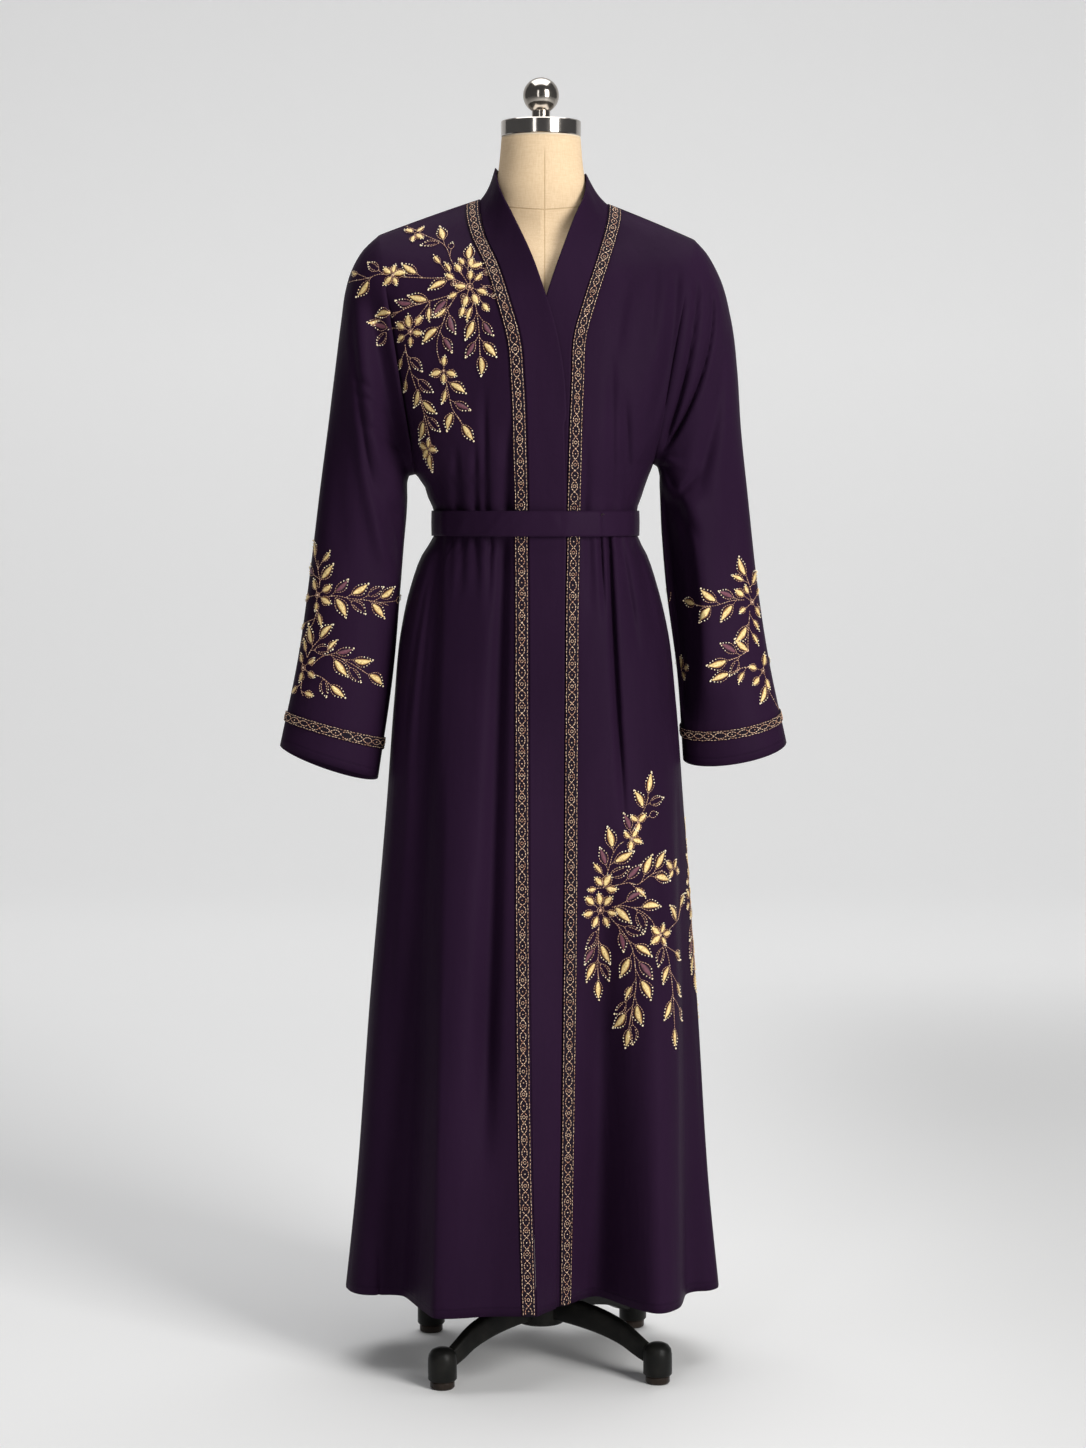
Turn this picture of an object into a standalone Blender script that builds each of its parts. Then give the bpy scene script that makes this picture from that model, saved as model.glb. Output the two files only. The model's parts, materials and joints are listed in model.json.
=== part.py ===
"""A full-length open abaya with grown-on sleeves, worn by a dress form on a four-legged stand.

Metres, +Z up, the wearer's front towards -Y, origin on the floor under the form's pole.
The wearer's right is at -X. Every cloth piece is a wall; the sizes come from the tables below.
"""

import math
from collections import namedtuple

import bmesh
import bpy
import numpy as np
from mathutils import Matrix, Vector
from mathutils.bvhtree import BVHTree

# Driving dimensions
WALL = 0.0015  # thickness of the panels' cloth
BAND_WALL = 0.0020  # the front band is folded double
TRIM_WALL = 0.0010
BELT_WALL = 0.0020
SEAM = 0.0003  # gap between two pieces at a seam
HEM = 0.0960  # height of the hem over the floor
BAND_WIDTH = 0.0458
TRIM_WIDTH = 0.0172
SHOULDER_RISE = 0.0008  # how far the shoulder seam stands over a straight line
LAP = 0.0052  # how far the right front stands over the left one where they lap
BELT_LOW, BELT_TOP = 1.0552, 1.0872
BELT_END_X = 0.0830  # where the belt's outer end is tucked

CENTRING = (0.0090, -0.0056, 0.0)  # moves the whole so that its box stands over the origin

RIGHT, LEFT = -1, 1  # the wearer's sides, which are also the signs of X
FRONT, BACK = -1, 1  # which are also the signs of Y

# The seam between each front and its band, from the neck point down to the hem.
Edge = namedtuple("Edge", "z x y")
FRONT_EDGE = {
    RIGHT: [
        Edge(1.4855, -0.0785, 0.0100),
        Edge(1.4645, -0.0775, -0.0180),
        Edge(1.4320, -0.0695, -0.0480),
        Edge(1.4000, -0.0548, -0.0790),
        Edge(1.3500, -0.0378, -0.1060),
        Edge(1.3000, -0.0240, -0.1205),
        Edge(1.2500, -0.0198, -0.1260),
        Edge(1.1500, -0.0162, -0.1180),
        Edge(1.0880, -0.0150, -0.1020),
        Edge(1.0540, -0.0150, -0.1020),
        Edge(0.9800, -0.0143, -0.1190),
        Edge(0.8600, -0.0142, -0.1300),
        Edge(0.6000, -0.0138, -0.1395),
        Edge(0.2600, -0.0102, -0.1465),
        Edge(HEM, -0.0056, -0.1490),
    ],
    LEFT: [
        Edge(1.4795, 0.0860, 0.0100),
        Edge(1.4605, 0.0845, -0.0180),
        Edge(1.4300, 0.0775, -0.0480),
        Edge(1.4000, 0.0685, -0.0770),
        Edge(1.3500, 0.0522, -0.1050),
        Edge(1.3000, 0.0388, -0.1205),
        Edge(1.2500, 0.0366, -0.1260),
        Edge(1.1500, 0.0330, -0.1180),
        Edge(1.0880, 0.0316, -0.1020),
        Edge(1.0540, 0.0314, -0.1020),
        Edge(0.9800, 0.0300, -0.1190),
        Edge(0.8600, 0.0292, -0.1275),
        Edge(0.6000, 0.0275, -0.1270),
        Edge(0.2600, 0.0236, -0.1165),
        Edge(HEM, 0.0222, -0.1090),
    ],
}

# The body below the underarms: where the side seams run, and the middle of the back.
Side = namedtuple("Side", "z right left back")
BODY = [
    Side(1.4720, -0.2000, 0.2000, 0.0800),
    Side(1.4200, -0.2000, 0.2000, 0.1010),
    Side(1.3400, -0.2000, 0.2000, 0.1140),
    Side(1.2500, -0.1900, 0.1750, 0.1130),
    Side(1.1480, -0.1720, 0.1430, 0.1010),
    Side(1.1345, -0.1600, 0.1375, 0.0985),
    Side(1.1240, -0.1505, 0.1335, 0.0970),
    Side(1.1070, -0.1445, 0.1280, 0.0940),
    Side(1.0880, -0.1362, 0.1216, 0.0900),
    Side(1.0710, -0.1333, 0.1208, 0.0880),
    Side(1.0540, -0.1362, 0.1226, 0.0890),
    Side(1.0304, -0.1510, 0.1344, 0.0980),
    Side(0.9920, -0.1651, 0.1472, 0.1120),
    Side(0.9344, -0.1779, 0.1610, 0.1270),
    Side(0.8448, -0.1866, 0.1712, 0.1380),
    Side(0.7168, -0.1958, 0.1805, 0.1460),
    Side(0.4608, -0.2176, 0.1984, 0.1560),
    Side(0.2048, -0.2368, 0.2150, 0.1660),
    Side(HEM, -0.2483, 0.2260, 0.1700),
]

# Sections of each sleeve, from the armhole to the cuff: the ends of its chord in the front view,
# how far the cloth stands before and behind that chord, and how much each half tips down forward.
Section = namedtuple(
    "Section", "along over_x over_z under_x under_z y front back tip_front tip_back"
)
SLEEVE = {
    RIGHT: [
        Section(0.00, -0.2070, 1.4395, -0.1600, 1.1345, 0.010, 0.092, 0.092, 0.00, 0.00),
        Section(0.045, -0.2280, 1.4190, -0.1650, 1.1335, 0.010, 0.088, 0.089, 0.00, 0.00),
        Section(0.09, -0.2415, 1.3952, -0.1695, 1.1320, 0.010, 0.084, 0.086, 0.00, 0.00),
        Section(0.14, -0.2497, 1.3680, -0.1713, 1.1275, 0.010, 0.079, 0.082, 0.00, 0.00),
        Section(0.20, -0.2545, 1.3350, -0.1725, 1.1210, 0.010, 0.074, 0.078, 0.00, 0.00),
        Section(0.32, -0.2630, 1.2680, -0.1725, 1.1050, 0.009, 0.066, 0.070, 0.00, 0.00),
        Section(0.44, -0.2725, 1.1920, -0.1735, 1.0800, 0.008, 0.059, 0.062, 0.00, 0.00),
        Section(0.56, -0.2830, 1.1100, -0.1765, 1.0450, 0.006, 0.054, 0.056, 0.00, 0.00),
        Section(0.68, -0.2945, 1.0130, -0.1815, 0.9800, 0.004, 0.051, 0.052, 0.00, -0.04),
        Section(0.84, -0.3100, 0.9000, -0.1905, 0.8750, 0.000, 0.050, 0.050, 0.00, -0.16),
        Section(1.00, -0.3330, 0.7870, -0.2090, 0.7470, -0.004, 0.048, 0.048, 0.00, -0.35),
    ],
    LEFT: [
        Section(0.00, 0.1958, 1.4336, 0.1430, 1.1480, 0.010, 0.090, 0.092, 0.00, 0.00),
        Section(0.045, 0.2125, 1.4145, 0.1462, 1.1460, 0.010, 0.087, 0.089, 0.00, 0.00),
        Section(0.09, 0.2260, 1.3900, 0.1490, 1.1440, 0.010, 0.083, 0.086, 0.00, 0.00),
        Section(0.20, 0.2430, 1.3300, 0.1520, 1.1350, 0.010, 0.074, 0.078, 0.00, 0.00),
        Section(0.32, 0.2510, 1.2650, 0.1530, 1.1230, 0.011, 0.066, 0.070, 0.00, 0.00),
        Section(0.44, 0.2560, 1.1900, 0.1540, 1.0980, 0.013, 0.060, 0.062, 0.00, 0.00),
        Section(0.56, 0.2650, 1.1050, 0.1560, 1.0550, 0.016, 0.056, 0.056, 0.00, 0.00),
        Section(0.68, 0.2760, 1.0050, 0.1620, 0.9850, 0.020, 0.053, 0.052, 0.06, 0.06),
        Section(0.84, 0.2930, 0.8930, 0.1760, 0.8780, 0.022, 0.052, 0.050, 0.14, 0.14),
        Section(1.00, 0.3150, 0.7900, 0.1835, 0.7680, 0.022, 0.052, 0.048, 0.26, 0.26),
    ],
}

# The back half of the neck seam, from the middle of the back to the neck point, with the band's
# free edge, which stands up from it.
Stand = namedtuple("Stand", "along seam_x seam_y seam_z free_x free_y free_z")
BACK_NECK = {
    RIGHT: [
        Stand(0.00, 0.0000, 0.0800, 1.4720, 0.0000, 0.0665, 1.5140),
        Stand(0.35, -0.0420, 0.0690, 1.4755, -0.0345, 0.0560, 1.5175),
        Stand(0.70, -0.0705, 0.0400, 1.4815, -0.0535, 0.0285, 1.5235),
        Stand(1.00, -0.0785, 0.0100, 1.4855, -0.0590, 0.0015, 1.5270),
    ],
    LEFT: [
        Stand(0.00, 0.0000, 0.0800, 1.4720, 0.0000, 0.0665, 1.5140),
        Stand(0.35, 0.0440, 0.0690, 1.4740, 0.0345, 0.0560, 1.5160),
        Stand(0.70, 0.0745, 0.0400, 1.4775, 0.0524, 0.0285, 1.5185),
        Stand(1.00, 0.0860, 0.0100, 1.4795, 0.0579, 0.0015, 1.5195),
    ],
}

# The band's free edge from the neck point down to where the two fronts lap.
Free = namedtuple("Free", "seam_z x y z")
FREE_EDGE = {
    RIGHT: [
        Free(1.4855, -0.0590, 0.0015, 1.5270),
        Free(1.4645, -0.0540, -0.0320, 1.5010),
        Free(1.4320, -0.0350, -0.0630, 1.4600),
        Free(1.4000, -0.0152, -0.0915, 1.4170),
        Free(1.3500, 0.0045, -0.1145, 1.3620),
        Free(1.3000, 0.0195, -0.1262, 1.3110),
        Free(1.2500, 0.0290, -0.1317, 1.2545),
        Free(1.2000, 0.0322, -0.1297, 1.2010),
    ],
    LEFT: [
        Free(1.4795, 0.0579, 0.0015, 1.5195),
        Free(1.4605, 0.0565, -0.0310, 1.4945),
        Free(1.4300, 0.0420, -0.0610, 1.4580),
        Free(1.4000, 0.0270, -0.0870, 1.4170),
        Free(1.3500, 0.0085, -0.1090, 1.3620),
        Free(1.3000, -0.0055, -0.1225, 1.3080),
        Free(1.2500, -0.0092, -0.1277, 1.2500),
        Free(1.2000, -0.0110, -0.1255, 1.2000),
    ],
}

# Sections of the dress form's torso and neck; the last number is how square the section is.
Ring = namedtuple("Ring", "z wide front back square")
FORM = [
    Ring(1.5660, 0.0505, -0.0455, 0.0555, 2.00),
    Ring(1.5200, 0.0550, -0.0500, 0.0600, 2.00),
    Ring(1.4980, 0.0590, -0.0525, 0.0620, 2.00),
    Ring(1.4780, 0.0640, -0.0510, 0.0640, 1.90),
    Ring(1.4660, 0.0820, -0.0500, 0.0660, 1.55),
    Ring(1.4560, 0.1120, -0.0490, 0.0670, 1.30),
    Ring(1.4450, 0.1420, -0.0510, 0.0690, 1.25),
    Ring(1.4320, 0.1600, -0.0560, 0.0740, 1.38),
    Ring(1.4150, 0.1670, -0.0700, 0.0810, 1.60),
    Ring(1.3850, 0.1680, -0.0850, 0.0900, 1.85),
    Ring(1.3300, 0.1640, -0.1010, 0.0980, 2.00),
    Ring(1.2500, 0.1480, -0.1140, 0.0980, 2.10),
    Ring(1.1800, 0.1280, -0.1040, 0.0880, 2.15),
    Ring(1.1200, 0.1150, -0.0920, 0.0800, 2.15),
    Ring(1.0710, 0.1110, -0.0850, 0.0770, 2.15),
    Ring(1.0200, 0.1170, -0.0870, 0.0830, 2.15),
    Ring(0.9400, 0.1420, -0.0980, 0.1020, 2.15),
    Ring(0.8800, 0.1520, -0.1030, 0.1080, 2.15),
    Ring(0.8300, 0.1500, -0.1000, 0.1040, 2.15),
    Ring(0.8110, 0.1430, -0.0940, 0.0980, 2.15),
    Ring(0.8040, 0.1300, -0.0820, 0.0860, 2.15),
]
FORM_SIDES = 32

# The stand: a pole on a four-legged base, turned a little from the form's front.
POLE_Y = 0.020
POLE_R = 0.0125
HUB_R, HUB_LOW, HUB_TOP = 0.0310, 0.0450, 0.0860
LEG_ANGLES = [-130.0, -40.0, 50.0, 140.0]
FOOT_AT = 0.190
FOOT_R = 0.0180
FOOT_PROFILE = [
    (0.0, 0.0104), (0.0168, 0.0104), (0.0180, 0.0120), (0.0180, 0.0360), (0.0168, 0.0425),
    (0.0134, 0.0472), (0.0075, 0.0498), (0.0, 0.0505),
]  # fmt: skip
GLIDE_PROFILE = [
    (0.0, 0.0), (0.0135, 0.0), (0.0152, 0.0020), (0.0152, 0.0082), (0.0140, 0.0101), (0.0, 0.0101),
]  # fmt: skip
Leg = namedtuple("Leg", "out low top low_wide top_wide")
LEG = [
    Leg(0.0200, 0.0525, 0.0835, 0.0110, 0.0085),
    Leg(0.0700, 0.0500, 0.0800, 0.0105, 0.0080),
    Leg(0.1100, 0.0450, 0.0735, 0.0100, 0.0075),
    Leg(0.1400, 0.0375, 0.0640, 0.0098, 0.0072),
    Leg(0.1600, 0.0290, 0.0530, 0.0096, 0.0070),
    Leg(0.1760, 0.0235, 0.0440, 0.0094, 0.0068),
]
CAP_PROFILE = [
    (0.0, 1.5663), (0.0508, 1.5663), (0.0515, 1.5670), (0.0515, 1.5848), (0.0505, 1.5860),
    (0.0, 1.5860),
]  # fmt: skip
BALL_Z, BALL_R = 1.6192, 0.0232
STEM_PROFILE = [(0.0, 1.5863), (0.0130, 1.5863), (0.0130, 1.5905), (0.0118, 1.5912), (0.0118, 1.5985)]
NECK_Y = 0.005

# Folds, each a soft ridge (depth above 0) or trough (below 0) that runs down the cloth. Its line
# goes through three places in the front or back view; the widths are to the wearer's right of the
# line (at -X) and to the left of it.
Fold = namedtuple(
    "Fold", "face x1 z1 x2 x3 z3 right left spread top low fade_top fade_low"
)
FOLDS = [
    # skirt, right front
    Fold(FRONT, -0.0450, 1.070, -0.0580, -0.0735, 0.235, 0.010, 0.007, 2.0, -0.010, -0.016, 0.03, 0.25),
    Fold(FRONT, -0.0625, 1.070, -0.0640, -0.0660, 0.930, 0.0045, 0.004, 1.5, -0.008, -0.002, 0.10, 0.60),
    Fold(FRONT, -0.0830, 1.070, -0.0800, -0.0770, 0.960, 0.0045, 0.004, 1.5, -0.008, -0.002, 0.10, 0.60),
    Fold(FRONT, -0.0975, 1.070, -0.0985, -0.1000, 0.965, 0.0045, 0.004, 1.5, -0.009, -0.002, 0.10, 0.60),
    Fold(FRONT, -0.1110, 1.070, -0.1130, -0.1160, 0.960, 0.004, 0.0035, 1.4, -0.008, -0.002, 0.10, 0.60),
    Fold(FRONT, -0.1235, 1.070, -0.1526, -0.1750, HEM, 0.010, 0.0045, 4.5, -0.009, -0.022, 0.03, 0.0),
    Fold(FRONT, -0.1530, 0.620, -0.1640, -0.1770, HEM, 0.040, 0.016, 1.4, 0.000, -0.036, 0.20, 0.0),
    Fold(FRONT, -0.1290, 1.050, -0.1500, -0.1590, 0.700, 0.004, 0.0035, 1.8, -0.004, -0.004, 0.20, 0.45),
    Fold(FRONT, -0.1345, 1.040, -0.1640, -0.1750, 0.700, 0.004, 0.0035, 1.8, -0.004, -0.004, 0.20, 0.45),
    Fold(FRONT, -0.1700, 0.800, -0.1850, -0.2000, 0.350, 0.007, 0.006, 1.6, -0.003, -0.004, 0.30, 0.40),
    Fold(FRONT, -0.1100, 0.900, -0.1200, -0.1290, HEM, 0.014, 0.055, 1.0, 0.003, 0.030, 0.30, 0.0),
    # skirt, left front
    Fold(FRONT, 0.0745, 1.070, 0.0770, 0.0800, 0.990, 0.0035, 0.0025, 1.2, -0.010, -0.003, 0.08, 0.60),
    Fold(FRONT, 0.0850, 1.070, 0.0925, 0.1040, 0.730, 0.0035, 0.0025, 1.4, -0.013, -0.006, 0.05, 0.50),
    Fold(FRONT, 0.0985, 1.065, 0.1120, 0.1250, 0.880, 0.006, 0.004, 1.6, -0.007, -0.003, 0.10, 0.50),
    Fold(FRONT, 0.1130, 1.060, 0.1370, 0.1500, 0.880, 0.006, 0.005, 1.6, -0.006, -0.003, 0.10, 0.50),
    Fold(FRONT, 0.0600, 1.070, 0.0610, 0.0620, 0.930, 0.006, 0.005, 1.5, -0.005, -0.002, 0.10, 0.60),
    Fold(FRONT, 0.0720, 0.760, 0.0740, 0.0680, HEM, 0.020, 0.020, 1.5, 0.000, -0.052, 0.30, 0.0),
    Fold(FRONT, 0.1400, 0.860, 0.1480, 0.1500, HEM, 0.034, 0.034, 1.0, 0.000, 0.050, 0.35, 0.0),
    Fold(FRONT, 0.1700, 0.800, 0.1790, 0.1830, HEM, 0.0045, 0.022, 1.4, -0.006, -0.047, 0.20, 0.0),
    # bodice, over the belt and down from the shoulder
    Fold(FRONT, -0.0400, 1.215, -0.0410, -0.0420, 1.072, 0.009, 0.005, 1.0, -0.003, -0.011, 0.40, 0.06),
    Fold(FRONT, -0.0700, 1.260, -0.0690, -0.0680, 1.072, 0.006, 0.004, 1.0, -0.003, -0.007, 0.40, 0.06),
    Fold(FRONT, -0.0820, 1.190, -0.0815, -0.0810, 1.072, 0.005, 0.004, 1.0, -0.002, -0.009, 0.40, 0.06),
    Fold(FRONT, -0.1060, 1.180, -0.1040, -0.1020, 1.072, 0.006, 0.004, 1.0, -0.002, -0.009, 0.40, 0.06),
    Fold(FRONT, -0.1270, 1.150, -0.1260, -0.1250, 1.072, 0.006, 0.004, 1.0, -0.001, -0.008, 0.40, 0.06),
    Fold(FRONT, 0.0560, 1.200, 0.0550, 0.0540, 1.072, 0.008, 0.007, 1.0, -0.001, -0.005, 0.40, 0.06),
    Fold(FRONT, 0.0880, 1.300, 0.0890, 0.0900, 1.072, 0.008, 0.006, 1.0, -0.003, -0.007, 0.35, 0.06),
    Fold(FRONT, 0.1030, 1.250, 0.1080, 0.1130, 1.072, 0.009, 0.006, 1.0, -0.006, -0.009, 0.35, 0.06),
    Fold(FRONT, 0.1150, 1.400, 0.1000, 0.0920, 1.260, 0.010, 0.008, 1.0, -0.002, -0.003, 0.35, 0.40),
    Fold(FRONT, 0.1450, 1.405, 0.1400, 0.1330, 1.270, 0.009, 0.008, 1.0, -0.003, -0.003, 0.35, 0.40),
    # shoulder to underarm and sleeve, right
    Fold(FRONT, -0.2000, 1.385, -0.1720, -0.1450, 1.125, 0.016, 0.016, 1.0, -0.008, -0.024, 0.20, 0.35),
    Fold(FRONT, -0.2120, 1.360, -0.1960, -0.1720, 1.110, 0.014, 0.010, 1.0, 0.004, 0.010, 0.25, 0.25),
    Fold(FRONT, -0.2400, 1.370, -0.2290, -0.2080, 1.080, 0.0045, 0.0045, 1.0, -0.003, -0.006, 0.20, 0.25),
    Fold(FRONT, -0.2330, 1.262, -0.2200, -0.1960, 1.228, 0.005, 0.004, 1.0, -0.004, -0.003, 0.30, 0.30),
    Fold(FRONT, -0.2290, 1.240, -0.2120, -0.1880, 1.205, 0.005, 0.004, 1.0, -0.004, -0.003, 0.30, 0.30),
    Fold(FRONT, -0.2180, 1.200, -0.2000, -0.1780, 1.160, 0.006, 0.005, 1.0, -0.005, -0.004, 0.30, 0.30),
    Fold(FRONT, -0.2360, 1.250, -0.2180, -0.1860, 0.985, 0.010, 0.007, 1.0, 0.004, 0.010, 0.25, 0.25),
    Fold(FRONT, -0.1900, 1.110, -0.1830, -0.1740, 1.000, 0.008, 0.012, 1.0, -0.010, -0.012, 0.25, 0.35),
    Fold(FRONT, -0.1820, 0.885, -0.1920, -0.2080, 0.812, 0.004, 0.006, 1.0, -0.003, -0.005, 0.25, 0.20),
    Fold(FRONT, -0.2620, 1.250, -0.2580, -0.2520, 1.000, 0.014, 0.014, 1.0, -0.003, -0.004, 0.30, 0.30),
    # shoulder to underarm and sleeve, left
    Fold(FRONT, 0.1710, 1.400, 0.1600, 0.1280, 1.165, 0.010, 0.007, 1.0, -0.006, -0.009, 0.15, 0.30),
    Fold(FRONT, 0.1975, 1.395, 0.1860, 0.1530, 1.160, 0.006, 0.0035, 1.0, -0.005, -0.011, 0.15, 0.15),
    Fold(FRONT, 0.2150, 1.380, 0.2060, 0.1560, 1.160, 0.006, 0.0035, 1.0, -0.005, -0.013, 0.15, 0.12),
    Fold(FRONT, 0.2340, 1.330, 0.2200, 0.1920, 1.090, 0.012, 0.010, 1.0, -0.005, -0.013, 0.25, 0.30),
    Fold(FRONT, 0.1530, 1.158, 0.1650, 0.1800, 1.142, 0.005, 0.005, 1.0, 0.006, 0.004, 0.30, 0.40),
    Fold(FRONT, 0.1560, 1.150, 0.1640, 0.1740, 1.112, 0.004, 0.004, 1.0, -0.008, -0.006, 0.20, 0.30),
    Fold(FRONT, 0.2010, 1.140, 0.1890, 0.1760, 1.108, 0.004, 0.005, 1.0, -0.005, -0.007, 0.30, 0.20),
    Fold(FRONT, 0.1690, 1.105, 0.1850, 0.2030, 1.044, 0.009, 0.007, 1.0, -0.010, -0.007, 0.15, 0.40),
    Fold(FRONT, 0.1500, 1.130, 0.1660, 0.1900, 0.840, 0.012, 0.0055, 1.3, -0.016, -0.034, 0.12, 0.20),
    Fold(FRONT, 0.2480, 1.200, 0.2420, 0.2400, 0.980, 0.012, 0.012, 1.0, -0.003, -0.004, 0.30, 0.30),
    # back: gathers over and under the belt
    Fold(BACK, -0.030, 1.220, -0.028, -0.026, 1.072, 0.009, 0.009, 1.0, -0.002, -0.007, 0.45, 0.08),
    Fold(BACK, 0.034, 1.240, 0.031, 0.028, 1.072, 0.009, 0.009, 1.0, -0.002, -0.008, 0.45, 0.08),
    Fold(BACK, -0.068, 1.250, -0.062, -0.058, 1.072, 0.009, 0.009, 1.0, -0.002, -0.007, 0.45, 0.08),
    Fold(BACK, 0.070, 1.220, 0.064, 0.060, 1.072, 0.009, 0.009, 1.0, -0.002, -0.007, 0.45, 0.08),
    Fold(BACK, -0.110, 1.200, -0.100, -0.092, 1.072, 0.009, 0.009, 1.0, -0.002, -0.006, 0.45, 0.08),
    Fold(BACK, 0.104, 1.200, 0.092, 0.086, 1.072, 0.009, 0.009, 1.0, -0.002, -0.006, 0.45, 0.08),
    Fold(BACK, -0.012, 1.070, -0.014, -0.016, 0.800, 0.008, 0.008, 1.6, -0.007, -0.003, 0.08, 0.60),
    Fold(BACK, 0.016, 1.070, 0.022, 0.034, HEM, 0.010, 0.010, 2.6, -0.007, -0.036, 0.03, 0.0),
    Fold(BACK, 0.046, 1.070, 0.050, 0.054, 0.850, 0.008, 0.008, 1.6, -0.006, -0.003, 0.08, 0.60),
    Fold(BACK, -0.044, 1.070, -0.058, -0.076, HEM, 0.010, 0.010, 2.8, -0.007, -0.040, 0.03, 0.0),
    Fold(BACK, -0.074, 1.070, -0.082, -0.086, 0.840, 0.008, 0.008, 1.6, -0.006, -0.003, 0.08, 0.60),
    Fold(BACK, 0.074, 1.070, 0.100, 0.124, HEM, 0.010, 0.010, 2.6, -0.007, -0.036, 0.03, 0.0),
    Fold(BACK, -0.102, 1.070, -0.132, -0.166, HEM, 0.010, 0.010, 2.4, -0.006, -0.034, 0.03, 0.0),
    Fold(BACK, -0.020, 0.700, -0.020, -0.022, HEM, 0.036, 0.036, 1.0, 0.000, 0.012, 0.20, 0.0),
    Fold(BACK, 0.078, 0.700, 0.080, 0.080, HEM, 0.034, 0.034, 1.0, 0.000, 0.016, 0.20, 0.0),
    Fold(BACK, -0.120, 0.700, -0.120, -0.122, HEM, 0.034, 0.034, 1.0, 0.000, 0.018, 0.20, 0.0),
    Fold(BACK, 0.165, 0.760, 0.168, 0.170, HEM, 0.026, 0.026, 1.0, 0.000, 0.018, 0.20, 0.0),
    # back: from the shoulders down to the underarms
    Fold(BACK, -0.215, 1.400, -0.198, -0.168, 1.130, 0.014, 0.018, 1.0, -0.006, -0.018, 0.25, 0.15),
    Fold(BACK, 0.205, 1.400, 0.186, 0.150, 1.150, 0.018, 0.014, 1.0, -0.006, -0.018, 0.25, 0.15),
    Fold(BACK, -0.180, 1.400, -0.165, -0.130, 1.150, 0.010, 0.010, 1.0, -0.005, -0.007, 0.25, 0.35),
    Fold(BACK, 0.172, 1.400, 0.156, 0.122, 1.150, 0.010, 0.010, 1.0, -0.005, -0.007, 0.25, 0.35),
    Fold(BACK, -0.250, 1.280, -0.235, -0.200, 1.010, 0.014, 0.014, 1.0, -0.006, -0.009, 0.25, 0.35),
    Fold(BACK, 0.238, 1.280, 0.222, 0.188, 1.010, 0.014, 0.014, 1.0, -0.006, -0.009, 0.25, 0.35),
]
OPEN_Y = 0.034  # a fold has its whole depth this far before or behind the side seam

# Rows of the panels: shares of the half turn round the armhole, then heights down to the hem.
ARMHOLE_ROWS = [0.0, 0.06, 0.15, 0.26, 0.38, 0.50, 0.62, 0.73, 0.83, 0.92, 1.0]
BODY_ROWS = [
    1.1220, 1.1070, 1.0900, 1.0700, 1.0520, 1.0300, 0.9950, 0.9450, 0.8700,
    0.7800, 0.6700, 0.5500, 0.4300, 0.3100, 0.2000, HEM,
]  # fmt: skip
FRONT_COLUMNS, BACK_COLUMNS = 15, 13
NECK_COLUMNS, NECK_SHARE = 4, 0.42  # of the back's columns, those that end at the neck seam
TRIM_COLUMN = 0.0184  # the fronts' first column, which carries the trim
SLEEVE_RINGS = [0.0, 0.05, 0.11, 0.18, 0.26, 0.34, 0.43, 0.52, 0.61, 0.70, 0.79, 0.87, 0.9365, 0.9555, 1.0]
BELT_RINGS = 44
BELT_LAP = 0.16  # of a turn, how far the belt's two ends lie over each other
FOLD_BLUR = 0.0055  # folds are drawn no sharper than the columns can carry
ROUND = 2.25  # how square the body's section is: 2 is an ellipse
DENSE = 240

PLUM = (0.030, 0.014, 0.040, 1.0)
GOLD = (0.55, 0.34, 0.14, 1.0)


def through(rows, key, column, where):
    """The smooth monotone curve through one column of a table, read at one place or many."""
    keys = np.array([getattr(row, key) for row in rows], float)
    values = np.array([getattr(row, column) for row in rows], float)
    if keys[0] > keys[-1]:
        keys, values = keys[::-1], values[::-1]
    step = np.diff(keys)
    rise = np.diff(values) / step
    inner = np.where(
        rise[:-1] * rise[1:] > 0,
        (rise[:-1] * step[1:] + rise[1:] * step[:-1]) / (step[:-1] + step[1:]),
        0.0,
    )
    cap = 3 * np.minimum(abs(rise[:-1]), abs(rise[1:]))
    inner = np.clip(inner, -cap, cap)
    slope = np.concatenate([rise[:1], inner, rise[-1:]])
    where = np.clip(where, keys[0], keys[-1])
    i = np.clip(np.searchsorted(keys, where, side="right") - 1, 0, len(step) - 1)
    t = (where - keys[i]) / step[i]
    return (
        values[i] * (1 + 2 * t) * (1 - t) ** 2
        + values[i + 1] * t * t * (3 - 2 * t)
        + slope[i] * step[i] * t * (1 - t) ** 2
        - slope[i + 1] * step[i] * t * t * (1 - t)
    )


def smooth_step(low, high, x):
    t = np.clip((x - low) / (high - low), 0, 1)
    return t * t * (3 - 2 * t)


def fold_depth(face, x, z):
    """How far the folds move the cloth out of its smooth shape, at places in the front view."""
    out = np.zeros(np.broadcast(x, z).shape)
    for f in FOLDS:
        if f.face != face:
            continue
        t = (f.z1 - z) / (f.z1 - f.z3)
        t_in = np.clip(t, 0, 1)
        line = (
            f.x1 * (1 - t_in) * (1 - 2 * t_in)
            + f.x2 * 4 * t_in * (1 - t_in)
            + f.x3 * t_in * (2 * t_in - 1)
        )
        lean = math.cos(math.atan2(f.x3 - f.x1, f.z1 - f.z3))
        drawn = np.where(x < line, f.right, f.left) * (1 + (f.spread - 1) * t_in)
        width = np.hypot(drawn, FOLD_BLUR)
        depth = (f.top + (f.low - f.top) * t_in) * drawn / width
        fade = smooth_step(0, f.fade_top, t)
        if f.fade_low:
            fade = fade * smooth_step(0, f.fade_low, 1 - t)
        out += depth * fade * np.exp(-(((x - line) * lean / width) ** 2))
    return out


def folded(points, face, seam_y):
    """Moves points of a front or back by the folds there, none at the side seam."""
    x, y, z = points[..., 0], points[..., 1], points[..., 2]
    open_share = smooth_step(0, OPEN_Y, abs(y - seam_y))
    moved = points.copy()
    moved[..., 1] = y + face * fold_depth(face, x, z) * open_share
    return moved


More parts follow.
